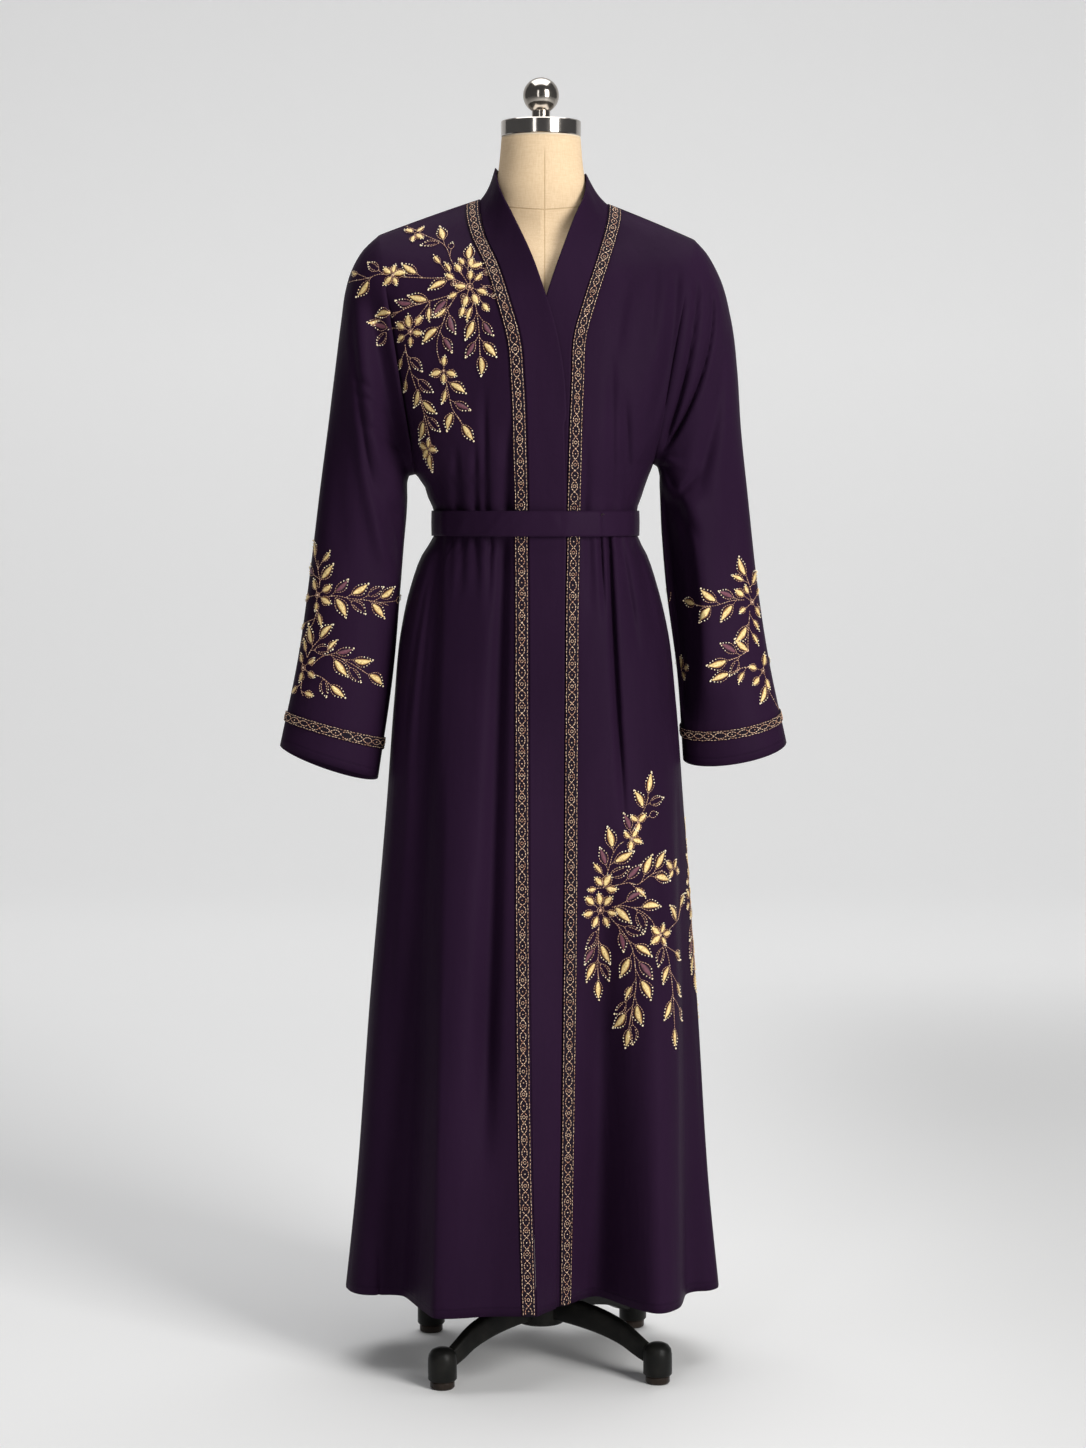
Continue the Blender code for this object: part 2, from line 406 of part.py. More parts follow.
def seam_y(z):
    """The side seam's place from front to back."""
    return 0.010 * smooth_step(0.6, 1.1, z)


def sleeve(side, face, along, turn, gap=SEAM / 2):
    """Points of a sleeve half: along from armhole to cuff, turn from overarm (0) to underarm (1)."""
    along, turn = np.broadcast_arrays(np.asarray(along, float), np.asarray(turn, float))
    read = {c: through(SLEEVE[side], "along", c, along) for c in Section._fields[1:]}
    over = np.stack([read["over_x"], read["y"], read["over_z"]], -1)
    under = np.stack([read["under_x"], read["y"], read["under_z"]], -1)
    angle = math.pi * turn
    across = (over + under) / 2 + (over - under) / 2 * np.cos(angle)[..., None]
    depth = np.where(face == FRONT, read["front"], read["back"]) * np.sin(angle)
    tip = np.where(face == FRONT, read["tip_front"], read["tip_back"])
    out = np.stack([np.zeros_like(depth), face * depth, face * tip * depth], -1)
    points = folded(across + out, face, read["y"])
    points[..., 1] += face * gap
    return points


def panel_top(face, side):
    return FRONT_EDGE[side][0].z if face == FRONT else BODY[0].z


def row_height(side, face, share):
    """The height at which a row that ends on the armhole starts at the panel's inner edge."""
    return panel_top(face, side) * (1 - share) + SLEEVE[side][0].under_z * share


def lap_at(side, x, z, inner_x):
    """How far the right front is lifted beside its edge, where it laps over the left one."""
    if side == LEFT:
        return np.zeros(np.broadcast(x, z).shape)
    return LAP * smooth_step(1.40, 1.34, z) * smooth_step(0.075, 0.0, abs(x - inner_x))


def row_across(side, face, share=None, z=None):
    """One row of a panel, from its inner edge to the armhole or side seam, as a dense curve."""
    if share is not None:
        outer = sleeve(side, face, 0.0, share)
        height = row_height(side, face, share)
        roundness = float(smooth_step(-0.15, 1.0, share))
    else:
        column = "right" if side == RIGHT else "left"
        x = float(through(BODY, "z", column, z))
        outer = np.array([x, float(seam_y(z)) + face * SEAM / 2, z])
        height, roundness = z, 1.0
    if face == FRONT:
        inner = np.array(
            [
                float(through(FRONT_EDGE[side], "z", "x", height)),
                float(through(FRONT_EDGE[side], "z", "y", height)),
                height,
            ]
        )
    else:
        inner = np.array([0.0, float(through(BODY, "z", "back", height)), height])
    angle = np.linspace(0, math.pi / 2, DENSE)
    even = angle / (math.pi / 2)
    wide = (1 - roundness) * even + roundness * np.sin(angle) ** (2 / ROUND)
    deep = (1 - roundness) * even + roundness * (1 - np.cos(angle) ** (2 / ROUND))
    points = np.stack(
        [
            inner[0] + (outer[0] - inner[0]) * wide,
            inner[1] + (outer[1] - inner[1]) * deep,
            inner[2] + (outer[2] - inner[2]) * even,
        ],
        -1,
    )
    if face == FRONT and share is not None:
        points[:, 2] += SHOULDER_RISE * 4 * wide * (1 - wide) * (1 - smooth_step(0, 0.3, share))
    if face == BACK and share is not None:
        points += (back_top(side) - points_of_top(side)) * (1 - smooth_step(0, 0.45, share))
    middle = seam_y(points[:, 2]) if share is None else SLEEVE[side][0].y
    bent = folded(points, face, middle)
    bent[-1] = outer
    if face == FRONT:
        bent[:, 1] -= lap_at(side, points[:, 0], points[:, 2], inner[0])
    return bent


def back_top(side, turns=None):
    """The back's top edge: round the back neck, then along the shoulder."""
    u = np.linspace(0, 1, DENSE) if turns is None else np.array(turns)
    along = np.clip(u / NECK_SHARE, 0, 1)
    rows = BACK_NECK[side]
    neck = np.stack([through(rows, "along", c, along) for c in ("seam_x", "seam_y", "seam_z")], -1)
    point = np.array([rows[-1].seam_x, rows[-1].seam_y, rows[-1].seam_z])
    tip = sleeve(side, BACK, 0.0, 0.0)
    t = np.clip((u - NECK_SHARE) / (1 - NECK_SHARE), 0, 1)
    shoulder = point + (tip - point) * t[:, None]
    shoulder[:, 2] += SHOULDER_RISE * 4 * t * (1 - t)
    shoulder[:, 1] += SEAM
    return np.where((u <= NECK_SHARE)[:, None], neck, shoulder)


def points_of_top(side):
    """The back's straight row between the same two ends."""
    tip = sleeve(side, BACK, 0.0, 0.0)
    inner = np.array([0.0, BODY[0].back, BODY[0].z])
    return inner + (tip - inner) * np.linspace(0, 1, DENSE)[:, None]


def at_lengths(points, lengths):
    """Places at these distances along a curve."""
    length = np.concatenate([[0], np.cumsum(np.linalg.norm(np.diff(points, axis=0), axis=1))])
    return np.stack([np.interp(lengths, length, points[:, i]) for i in range(3)], -1), length[-1]


def front_row(points):
    whole = at_lengths(points, [0.0])[1]
    rest = np.linspace(TRIM_COLUMN, whole, FRONT_COLUMNS)
    return at_lengths(points, np.concatenate([[0.0], rest]))[0]


def back_row(points, share):
    """A row of the back: under the neck its columns keep to those of the neck seam."""
    length = np.concatenate([[0], np.cumsum(np.linalg.norm(np.diff(points, axis=0), axis=1))])
    by_neck = np.interp(neck_turns(), np.linspace(0, 1, DENSE), length)
    evenly = np.linspace(0, length[-1], BACK_COLUMNS + 1)
    blend = smooth_step(0.05, 0.7, share)
    return at_lengths(points, by_neck * (1 - blend) + evenly * blend)[0]


def neck_turns():
    neck = np.linspace(0, NECK_SHARE, NECK_COLUMNS + 1)
    shoulder = np.linspace(NECK_SHARE, 1, BACK_COLUMNS + 1 - NECK_COLUMNS)
    return np.concatenate([neck, shoulder[1:]])


def body_grid(side, face):
    """Rows of points of one half of the front or back, from the shoulder to the hem."""
    rows = [(row_across(side, face, share=t), t) for t in ARMHOLE_ROWS]
    rows += [(row_across(side, face, z=z), 1.0) for z in BODY_ROWS]
    if face == FRONT:
        return np.array([front_row(points) for points, share in rows])
    grid = np.array([back_row(points, share) for points, share in rows])
    grid[0] = back_top(side, neck_turns())
    return grid


def sleeve_grid(side, face):
    return sleeve(side, face, np.array(SLEEVE_RINGS)[:, None], np.array(ARMHOLE_ROWS)[None, :])


def unit(vectors):
    return vectors / np.linalg.norm(vectors, axis=-1, keepdims=True)


def add_grid(bm, points, flip):
    """A Blender grid bent to these rows of points."""
    rows, cols = points.shape[:2]
    made = bmesh.ops.create_grid(bm, x_segments=cols - 1, y_segments=rows - 1, size=0.5)
    for vertex in made["verts"]:
        col = round((vertex.co.x + 0.5) * (cols - 1))
        row = round((0.5 - vertex.co.y) * (rows - 1))
        vertex.co = points[row, col]
    faces = {f for v in made["verts"] for f in v.link_faces}
    if flip:
        bmesh.ops.reverse_faces(bm, faces=list(faces))


def finish(name, bm, colour, roughness, metallic=0.0):
    """Puts a mesh into the part's collection with its own material."""
    mesh = bpy.data.meshes.new(name)
    bm.to_mesh(mesh)
    bm.free()
    mesh.shade_smooth()
    obj = bpy.data.objects.new(name, mesh)
    PART.objects.link(obj)
    paint(obj, colour, roughness, metallic)
    return obj


def paint(obj, colour, roughness, metallic=0.0):
    material = bpy.data.materials.new(obj.name)
    material.use_nodes = True
    shader = material.node_tree.nodes["Principled BSDF"]
    shader.inputs["Base Color"].default_value = colour
    shader.inputs["Roughness"].default_value = roughness
    shader.inputs["Metallic"].default_value = metallic
    obj.data.materials.clear()
    obj.data.materials.append(material)


def cloth(name, grids, thickness=WALL, colour=PLUM, roughness=0.55, beyond=0.0, offset=None):
    """A cloth piece from grids of its inner surface, joined where they share an edge."""
    bm = bmesh.new()
    for points, flip in grids:
        add_grid(bm, points, flip)
    bmesh.ops.remove_doubles(bm, verts=bm.verts, dist=0.00002)
    bmesh.ops.triangulate(bm, faces=bm.faces, quad_method="FIXED")
    obj = finish(name, bm, colour, roughness)
    solid = obj.modifiers.new("Wall", "SOLIDIFY")
    solid.thickness = thickness
    solid.offset = 1 + 2 * beyond / thickness if offset is None else offset
    solid.use_even_offset = True
    solid.thickness_clamp = 2.0
    return obj


def build_panels(fronts, backs, sleeves):
    """Both fronts and both halves of the back, each cut in one with its half of a sleeve."""
    for side, name in ((RIGHT, "right"), (LEFT, "left")):
        cloth("front_" + name, [(fronts[side], side == RIGHT), (sleeves[side, FRONT], side == LEFT)])
        half = backs[side].copy()
        half[:, 0, 0] = side * SEAM / 2
        cloth("back_" + name, [(half, side == LEFT), (sleeves[side, BACK], side == RIGHT)])


def seam_pairs(side, fronts, backs):
    """The panels' edge beside the band, from the middle of the back to the hem, with the places
    on the panels next to it."""
    edge = [backs[side][0, k] for k in range(NECK_COLUMNS)]
    beside = [backs[side][1, k] for k in range(NECK_COLUMNS)]
    edge.append((backs[side][0, NECK_COLUMNS] + fronts[side][0, 0]) / 2)
    beside.append((backs[side][0, NECK_COLUMNS + 1] + fronts[side][0, 1]) / 2)
    edge += list(fronts[side][1:, 0])
    beside += list(fronts[side][1:, 1])
    return np.array(edge), np.array(beside)


def outward(edge, beside):
    """The cloth's outward direction along an edge."""
    normal = unit(np.cross(np.gradient(edge, axis=0), beside - edge))
    guide = np.stack([edge[:, 0], edge[:, 1], np.full(len(edge), 0.12)], -1)
    return normal * np.sign(np.sum(normal * guide, axis=1))[:, None]


def band_edges(side, fronts, backs):
    """The middle of the band's cloth at its seam and at its free edge, from back neck to hem."""
    edge, beside = seam_pairs(side, fronts, backs)
    normal = outward(edge, beside)
    away = -unit(beside - edge)
    seam = edge + normal * WALL / 2 + away * SEAM
    free = []
    for k in range(len(edge)):
        z = edge[k][2]
        if k <= NECK_COLUMNS:
            row = [through(BACK_NECK[side], "along", c, k / NECK_COLUMNS) for c in Stand._fields[4:]]
        elif z > FREE_EDGE[side][-1].seam_z:
            row = [through(FREE_EDGE[side], "seam_z", c, z) for c in ("x", "y", "z")]
        else:
            other = row_point(-side, z) + [0, -WALL / 2 + LAP * side, 0]
            across = (other - seam[k]) * [1, 1, 0]
            span = np.linalg.norm(across)
            width = min(BAND_WIDTH, span if side == RIGHT else span - 0.0015)
            row = seam[k] + across / span * width
        free.append([float(value) for value in row])
    free = np.array(free)
    turn = unit(np.cross(np.gradient(edge, axis=0), free - seam))
    bend = np.linalg.norm(np.cross(turn, normal), axis=1)
    seam += away * (SEAM / 2 + bend * BAND_WALL * 0.6)[:, None]
    lines = []
    for line in (seam, free):
        middle = line[:1] * [0, 1, 1]
        ends = np.concatenate([middle + [side * SEAM / 2, 0, 0], middle + [side * 0.003, 0, 0]])
        lines.append(np.concatenate([ends, line[1:]]))
    return lines


def row_point(side, z):
    """The edge of a front at a height below the lap's start."""
    x = float(through(FRONT_EDGE[side], "z", "x", z))
    y = float(through(FRONT_EDGE[side], "z", "y", z))
    point = folded(np.array([[x, y, z]]), FRONT, 0.0)[0]
    point[1] -= float(lap_at(side, x, z, x))
    return point


def build_bands(fronts, backs):
    """The doubled band down each front, which also stands up as the collar."""
    for side, name in ((RIGHT, "band_right"), (LEFT, "band_left")):
        seam, free = band_edges(side, fronts, backs)
        grid = np.stack([seam, (seam * 2 + free) / 3, (seam + free * 2) / 3, free], 1)
        cloth(name, [(grid, side == LEFT)], BAND_WALL, offset=0.0)


def build_trims(fronts, backs, ground):
    """The woven trim beside each band, from the middle of the back neck to the hem."""
    for side, name in ((RIGHT, "trim_right"), (LEFT, "trim_left")):
        inner, outer = [], []
        for along in np.linspace(0, 0.92, 9):
            turn = [along * NECK_SHARE]
            start = back_top(side, turn)[0]
            ahead = back_top(side, [turn[0] + 0.002])[0] - start
            level = unit(np.array([side * ahead[1], -side * ahead[0], 0.0])) * -1
            inner.append(on_cloth(ground, start, level, 0.0012))
            outer.append(on_cloth(ground, start, level, TRIM_WIDTH))
        front = fronts[side]
        for row in front:
            span = np.linalg.norm(row[1] - row[0])
            inner.append(row[0] + (row[1] - row[0]) * 0.0012 / span)
            outer.append(row[0] + (row[1] - row[0]) * TRIM_WIDTH / span)
        grid = np.stack([inner, outer], 1)
        grid[0, :, 0] = side * SEAM / 2
        cloth(name, [(grid, side == RIGHT)], TRIM_WALL, GOLD, 0.5, beyond=WALL + SEAM)


def on_cloth(ground, start, level, distance):
    """The place on the back's cloth at a distance from its edge."""
    reach = distance
    for _ in range(6):
        above = Vector(start + level * reach) + Vector((0, 0, 0.1))
        hit, up = ground.ray_cast(above, Vector((0, 0, -1)))[:2]
        found = np.array(hit) if hit else start + level * reach
        reach *= distance / np.linalg.norm(found - start)
    return found + (np.array(up) if hit else np.array([0, 0, 1])) * 0.0012


def build_cuff_trims(sleeves):
    """A ring of trim near each cuff, made from two rings of the sleeve beneath it."""
    low = SLEEVE_RINGS.index(0.9365)
    for side, name in ((RIGHT, "cuff_trim_right"), (LEFT, "cuff_trim_left")):
        rings = []
        for share in (0.06, 0.94):
            halves = []
            for face in (FRONT, BACK):
                ring = sleeves[side, face]
                halves.append(ring[low] + (ring[low + 1] - ring[low]) * share)
            over = (halves[0][:1] + halves[1][:1]) / 2
            under = (halves[0][-1:] + halves[1][-1:]) / 2
            rings.append(np.concatenate([over, halves[0][1:-1], under, halves[1][-2:0:-1], over]))
        cloth(name, [(np.array(rings), side == LEFT)], TRIM_WALL, GOLD, 0.5, beyond=WALL + SEAM)


def build_belt(fronts, backs):
    """A strip wound once round the waist, its outer end lying over its inner one."""
    centre = np.array([-0.007, -0.006])
    cloud = []
    for z in np.linspace(BELT_LOW - 0.001, BELT_TOP + 0.001, 5):
        for side in (RIGHT, LEFT):
            for face in (FRONT, BACK):
                row = row_across(side, face, z=z)[:, :2] - centre
                thick = np.full(len(row), WALL)
                if face == FRONT:
                    near = abs(row[:, 0] - row[0, 0]) < TRIM_WIDTH + 0.003
                    thick = thick + near * (TRIM_WALL + SEAM)
                cloud.append((row, thick))
            band = np.linspace(row_point(RIGHT, z), row_point(LEFT, z) - [0, LAP, 0], 9)[:, :2] - centre
            cloud.append((band, np.full(9, BAND_WALL)))
    spots = np.concatenate([c[0] for c in cloud])
    thick = np.concatenate([c[1] for c in cloud])
    ahead = np.arange(0, 360, 3) * math.pi / 180
    facing = np.stack([np.cos(ahead), np.sin(ahead)], -1)
    support = (spots @ facing.T + thick[:, None]).max(0) + SEAM
    shape = np.stack([np.cos(ahead), np.sin(ahead)], -1) * support[:, None]
    turn_rate = (np.roll(support, -1) - np.roll(support, 1)) / (ahead[1] - ahead[0]) / 2
    shape += np.stack([-np.sin(ahead), np.cos(ahead)], -1) * turn_rate[:, None]
    ring = shape
    angles = np.unwrap(np.arctan2(ring[:, 1], ring[:, 0]))
    reach = np.hypot(ring[:, 0], ring[:, 1])
    order = np.argsort(angles % (2 * math.pi))
    angles, reach = (angles % (2 * math.pi))[order], reach[order]
    end = math.atan2(-0.105 - centre[1], BELT_END_X - centre[0])
    start = end - 2 * math.pi * (1 + BELT_LAP)
    lines = []
    count = BELT_RINGS + round(BELT_RINGS * BELT_LAP)
    for k in range(count + 1):
        t = k / count
        angle = start + (end - start) * t
        radius = float(np.interp(angle % (2 * math.pi), angles, reach, period=2 * math.pi))
        lift = (BELT_WALL + SEAM * 3) * float(smooth_step(0.62, 0.80, t)) + SEAM * 3
        place = centre + (radius + lift) * np.array([math.cos(angle), math.sin(angle)])
        lines.append([[place[0], place[1], z] for z in (BELT_LOW, (BELT_LOW + BELT_TOP) / 2, BELT_TOP)])
    cloth("belt", [(np.array(lines), False)], BELT_WALL, PLUM, 0.45)


def build_form():
    """The torso and neck of the form, lofted through its sections."""
    angle = np.linspace(0, 2 * math.pi, FORM_SIDES + 1)
    rows = []
    for ring in FORM:
        power = 2 / ring.square
        x = ring.wide * np.sign(np.cos(angle)) * abs(np.cos(angle)) ** power
        deep = np.sign(np.sin(angle)) * abs(np.sin(angle)) ** power
        middle = (ring.front + ring.back) / 2
        y = middle + (ring.back - ring.front) / 2 * deep
        rows.append(np.stack([x, y, np.full(len(x), ring.z)], -1))
    grid = np.array(rows)
    grid[:, -1] = grid[:, 0]
    bm = bmesh.new()
    add_grid(bm, grid, False)
    bmesh.ops.remove_doubles(bm, verts=bm.verts, dist=0.00002)
    bmesh.ops.holes_fill(bm, edges=bm.edges, sides=0)
    bmesh.ops.recalc_face_normals(bm, faces=bm.faces)
    finish("form_torso", bm, (0.72, 0.60, 0.42, 1.0), 0.8)


def turned(name, profile, place, colour, roughness, metallic, steps=32):
    """A round solid from a profile of radii and heights."""
    bm = bmesh.new()
    verts = [bm.verts.new((r, 0, z)) for r, z in profile]
    edges = [bm.edges.new(pair) for pair in zip(verts, verts[1:])]
    bmesh.ops.spin(
        bm, geom=verts + edges, axis=(0, 0, 1), cent=(0, 0, 0), angle=2 * math.pi, steps=steps
    )
    bmesh.ops.remove_doubles(bm, verts=bm.verts, dist=0.00002)
    bmesh.ops.holes_fill(bm, edges=bm.edges, sides=0)
    bmesh.ops.recalc_face_normals(bm, faces=bm.faces)
    bmesh.ops.translate(bm, verts=bm.verts, vec=place)
    return finish(name, bm, colour, roughness, metallic)


def build_stand():
    """The cap and ball on the neck, the pole, and the base with its feet."""
    nickel = (0.55, 0.52, 0.48, 1.0)
    black = (0.012, 0.012, 0.011, 1.0)
    turned("neck_cap", CAP_PROFILE, (0, NECK_Y, 0), nickel, 0.3, 1.0, 40)
    foot = math.asin(STEM_PROFILE[-1][0] / BALL_R)
    arc = np.linspace(math.pi - foot, 0, 12)
    ball = [(BALL_R * math.sin(a), BALL_Z + BALL_R * math.cos(a)) for a in arc]
    turned("finial", STEM_PROFILE[:-1] + ball, (0, NECK_Y, 0), nickel, 0.25, 1.0, 28)
    pole = [(0, HUB_TOP + 0.0003), (POLE_R, HUB_TOP + 0.0003), (POLE_R, 0.8037), (0, 0.8037)]
    turned("pole", pole, (0, POLE_Y, 0), nickel, 0.3, 1.0, 20)
    hub = [(0, HUB_LOW), (HUB_R - 0.002, HUB_LOW), (HUB_R, HUB_LOW + 0.002)]
    hub += [(HUB_R, HUB_TOP - 0.004), (HUB_R - 0.006, HUB_TOP), (0, HUB_TOP)]
    base = turned("base", hub, (0, POLE_Y, 0), black, 0.6, 0.0, 32)
    centre = np.array([0, POLE_Y, 0])
    for number, degrees in enumerate(LEG_ANGLES, 1):
        turn = math.radians(degrees)
        ahead = np.array([math.cos(turn), math.sin(turn), 0])
        across = np.array([-math.sin(turn), math.cos(turn), 0])
        rows = []
        for leg in LEG:
            corners = [(-leg.low_wide, leg.low), (leg.low_wide, leg.low), (leg.low_wide, leg.top - 0.005)]
            corners += [(leg.top_wide, leg.top), (-leg.top_wide, leg.top), (-leg.low_wide, leg.top - 0.005)]
            corners.append(corners[0])
            rows.append([centre + ahead * leg.out + across * w + np.array([0, 0, z]) for w, z in corners])
        bm = bmesh.new()
        add_grid(bm, np.array(rows), False)
        bmesh.ops.remove_doubles(bm, verts=bm.verts, dist=0.00002)
        bmesh.ops.holes_fill(bm, edges=bm.edges, sides=0)
        bmesh.ops.recalc_face_normals(bm, faces=bm.faces)
        place = tuple(centre + ahead * FOOT_AT)
        join(base, finish(f"leg_{number}_form", bm, black, 0.6))
        join(base, turned(f"foot_{number}_form", FOOT_PROFILE, place, black, 0.6, 0.0, 24))
        turned(f"glide_{number}", GLIDE_PROFILE, place, (0.03, 0.027, 0.025, 1.0), 0.4, 0.0, 24)


def join(body, added):
    """Makes one body of the two; the added one is only a tool for it."""
    added.hide_render = True
    added.display_type = "WIRE"
    union = body.modifiers.new(added.name, "BOOLEAN")
    union.operation = "UNION"
    union.solver = "EXACT"
    union.object = added


def main():
    for obj in list(bpy.data.objects):
        bpy.data.objects.remove(obj)
    for material in list(bpy.data.materials):
        bpy.data.materials.remove(material)
    fronts = {side: body_grid(side, FRONT) for side in (RIGHT, LEFT)}
    backs = {side: body_grid(side, BACK) for side in (RIGHT, LEFT)}
    sleeves = {(side, face): sleeve_grid(side, face) for side in (RIGHT, LEFT) for face in (FRONT, BACK)}
    build_panels(fronts, backs, sleeves)
    build_bands(fronts, backs)
    bm = bmesh.new()
    for side in (RIGHT, LEFT):
        add_grid(bm, backs[side], side == LEFT)
    ground = BVHTree.FromBMesh(bm)
    bm.free()
    build_trims(fronts, backs, ground)
    build_cuff_trims(sleeves)
    build_belt(fronts, backs)
    build_form()
    build_stand()
    for obj in PART.objects:
        obj.data.transform(Matrix.Translation(CENTRING))


PART = bpy.data.collections.new("abaya_on_dress_form")
bpy.context.scene.collection.children.link(PART)
main()
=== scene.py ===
import json
import math
from collections import namedtuple

import bmesh
import bpy
import numpy as np
from mathutils import Matrix, Vector
from mathutils.bvhtree import BVHTree

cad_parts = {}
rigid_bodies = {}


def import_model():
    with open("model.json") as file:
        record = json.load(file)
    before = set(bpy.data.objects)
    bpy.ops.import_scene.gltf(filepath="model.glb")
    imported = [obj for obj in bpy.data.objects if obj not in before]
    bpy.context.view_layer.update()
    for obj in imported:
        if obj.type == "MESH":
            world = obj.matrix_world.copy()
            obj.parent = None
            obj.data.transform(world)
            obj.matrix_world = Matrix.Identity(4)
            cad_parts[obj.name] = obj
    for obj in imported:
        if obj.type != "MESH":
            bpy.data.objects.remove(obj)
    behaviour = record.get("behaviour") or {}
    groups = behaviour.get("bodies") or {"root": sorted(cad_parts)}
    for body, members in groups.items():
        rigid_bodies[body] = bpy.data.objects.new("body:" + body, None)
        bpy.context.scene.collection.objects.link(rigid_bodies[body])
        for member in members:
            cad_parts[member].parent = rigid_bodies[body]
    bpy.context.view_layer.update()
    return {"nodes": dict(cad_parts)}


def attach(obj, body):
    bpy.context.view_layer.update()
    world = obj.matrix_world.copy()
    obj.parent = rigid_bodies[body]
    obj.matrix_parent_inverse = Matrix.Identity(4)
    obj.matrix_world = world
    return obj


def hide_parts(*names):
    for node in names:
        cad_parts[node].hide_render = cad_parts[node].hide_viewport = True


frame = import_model()
scene = bpy.context.scene

# The abaya's own frame stands over the pole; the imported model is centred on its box
centring = (0.0090, -0.0056, 0.0)
right, left = -1, 1
front, back = -1, 1


def tell(text):
    print("abaya:", text)


# Camera, floor and lights
view = {
    "place": (0.01156, -4.0056, 1.1008),
    "focal": 3125.0,  # in pixels of the photograph
    "size": (1086, 1448),
    "horizon": 500.0,
}
studio = {
    "floorEnd": 4.8,
    "bend": 1.6,  # between floor and wall
    "half": 10.0,
    "floor": (0.80, 0.45),  # how pale, under the stand and on the key light's side
    "glow": (0.005, 0.285, 0.20),  # under the stand, on the wall behind it, on the key light's side
    "sky": (0.95, 0.96, 1.0, 1),
    "skyStrength": 0.10,
    # place, aim, size across and up, power, colour
    "lamps": [
        ((2.45, -2.98, 2.1), (0.0, 0.0, 1.15), 1.4, 2.8, 176.0, (1.0, 0.99, 0.97)),
        ((-1.15, -3.5, 1.9), (0.0, 0.0, 1.1), 0.45, 2.8, 12.0, (0.98, 0.99, 1.0)),
        ((0.0, 0.5, 4.4), (0.0, 0.4, 0.0), 3.6, 3.2, 120.0, (1.0, 1.0, 1.0)),
    ],
}


def makeCamera():
    data = bpy.data.cameras.new("camera")
    data.sensor_width = 36
    data.lens = view["focal"] / view["size"][1] * 36
    data.shift_y = (view["horizon"] - view["size"][1] / 2) / view["size"][1]
    data.clip_end = 40
    camera = bpy.data.objects.new("camera", data)
    camera.location = view["place"]
    camera.rotation_euler = (math.pi / 2, 0, 0)
    scene.collection.objects.link(camera)
    scene.camera = camera


def makeStudio():
    world = bpy.data.worlds.new("studio")
    world.use_nodes = True
    sky = world.node_tree.nodes["Background"]
    sky.inputs["Color"].default_value = studio["sky"]
    sky.inputs["Strength"].default_value = studio["skyStrength"]
    scene.world = world
    for number, (place, aim, wide, tall, power, colour) in enumerate(studio["lamps"]):
        data = bpy.data.lights.new("lamp", "AREA")
        data.shape = "RECTANGLE"
        data.size, data.size_y = wide, tall
        data.energy = power
        data.color = colour
        lamp = bpy.data.objects.new(f"lamp{number}", data)
        lamp.location = place
        lamp.rotation_euler = (Vector(aim) - Vector(place)).to_track_quat("-Z", "Y").to_euler()
        scene.collection.objects.link(lamp)
    bm = bmesh.new()
    start, bend, half = studio["floorEnd"], studio["bend"], studio["half"]
    profile = [bm.verts.new((-half, -half, 0)), bm.verts.new((-half, start, 0))]
    for angle in np.linspace(0.15, math.pi / 2, 12):
        profile.append(bm.verts.new((-half, start + bend * math.sin(angle), bend - bend * math.cos(angle))))
    profile.append(bm.verts.new((-half, start + bend, half)))
    edges = [bm.edges.new(pair) for pair in zip(profile, profile[1:])]
    swept = bmesh.ops.extrude_edge_only(bm, edges=edges)
    moved = [v for v in swept["geom"] if isinstance(v, bmesh.types.BMVert)]
    bmesh.ops.translate(bm, verts=moved, vec=(half * 2, 0, 0))
    bmesh.ops.recalc_face_normals(bm, faces=bm.faces)
    mesh = bpy.data.meshes.new("backdrop")
    bm.to_mesh(mesh)
    bm.free()
    mesh.shade_smooth()
    backdrop = bpy.data.objects.new("backdrop", mesh)
    scene.collection.objects.link(backdrop)
    paper = Finish("paper")
    beside, far, _ = paper.parts(paper.place())
    beside = beside.step(0.15, 0.9) * (1 - far.step(1.5, 3.5))
    under, wall, sides = studio["glow"]
    grey = [(value,) * 3 + (1,) for value in (*studio["floor"], under, wall)]
    paper.set(Base_Color=paper.mixed(beside, *grey[:2]), Roughness=0.9, Specular_IOR_Level=0.0)
    glow = paper.mixed(far.step(0.6, 4.4), *grey[2:])
    glow = paper.mixed(beside, glow, (sides, sides, sides, 1))
    paper.set(Emission_Color=glow, Emission_Strength=1.0)
    mesh.materials.append(paper.material)
    scene.view_settings.view_transform = "Standard"


# Materials: a value wraps a socket, so that shader maths reads as maths
class Value:
    def __init__(self, book, socket):
        self.book, self.socket = book, socket

    def maths(self, operation, first, second=0.0):
        return self.book.node("ShaderNodeMath", {"operation": operation}, i0=first, i1=second)

    def __add__(self, other):
        return self.maths("ADD", self, other)

    def __radd__(self, other):
        return self.maths("ADD", other, self)

    def __sub__(self, other):
        return self.maths("SUBTRACT", self, other)

    def __rsub__(self, other):
        return self.maths("SUBTRACT", other, self)

    def __mul__(self, other):
        return self.maths("MULTIPLY", self, other)

    def __rmul__(self, other):
        return self.maths("MULTIPLY", other, self)

    def sine(self):
        return self.maths("SINE", self)

    def size(self):
        return self.maths("ABSOLUTE", self)

    def step(self, low, high):
        # 0 below low, 1 above high, smooth between
        return self.book.node(
            "ShaderNodeMapRange", {"interpolation_type": "SMOOTHSTEP"}, i0=self, i1=low, i2=high
        )


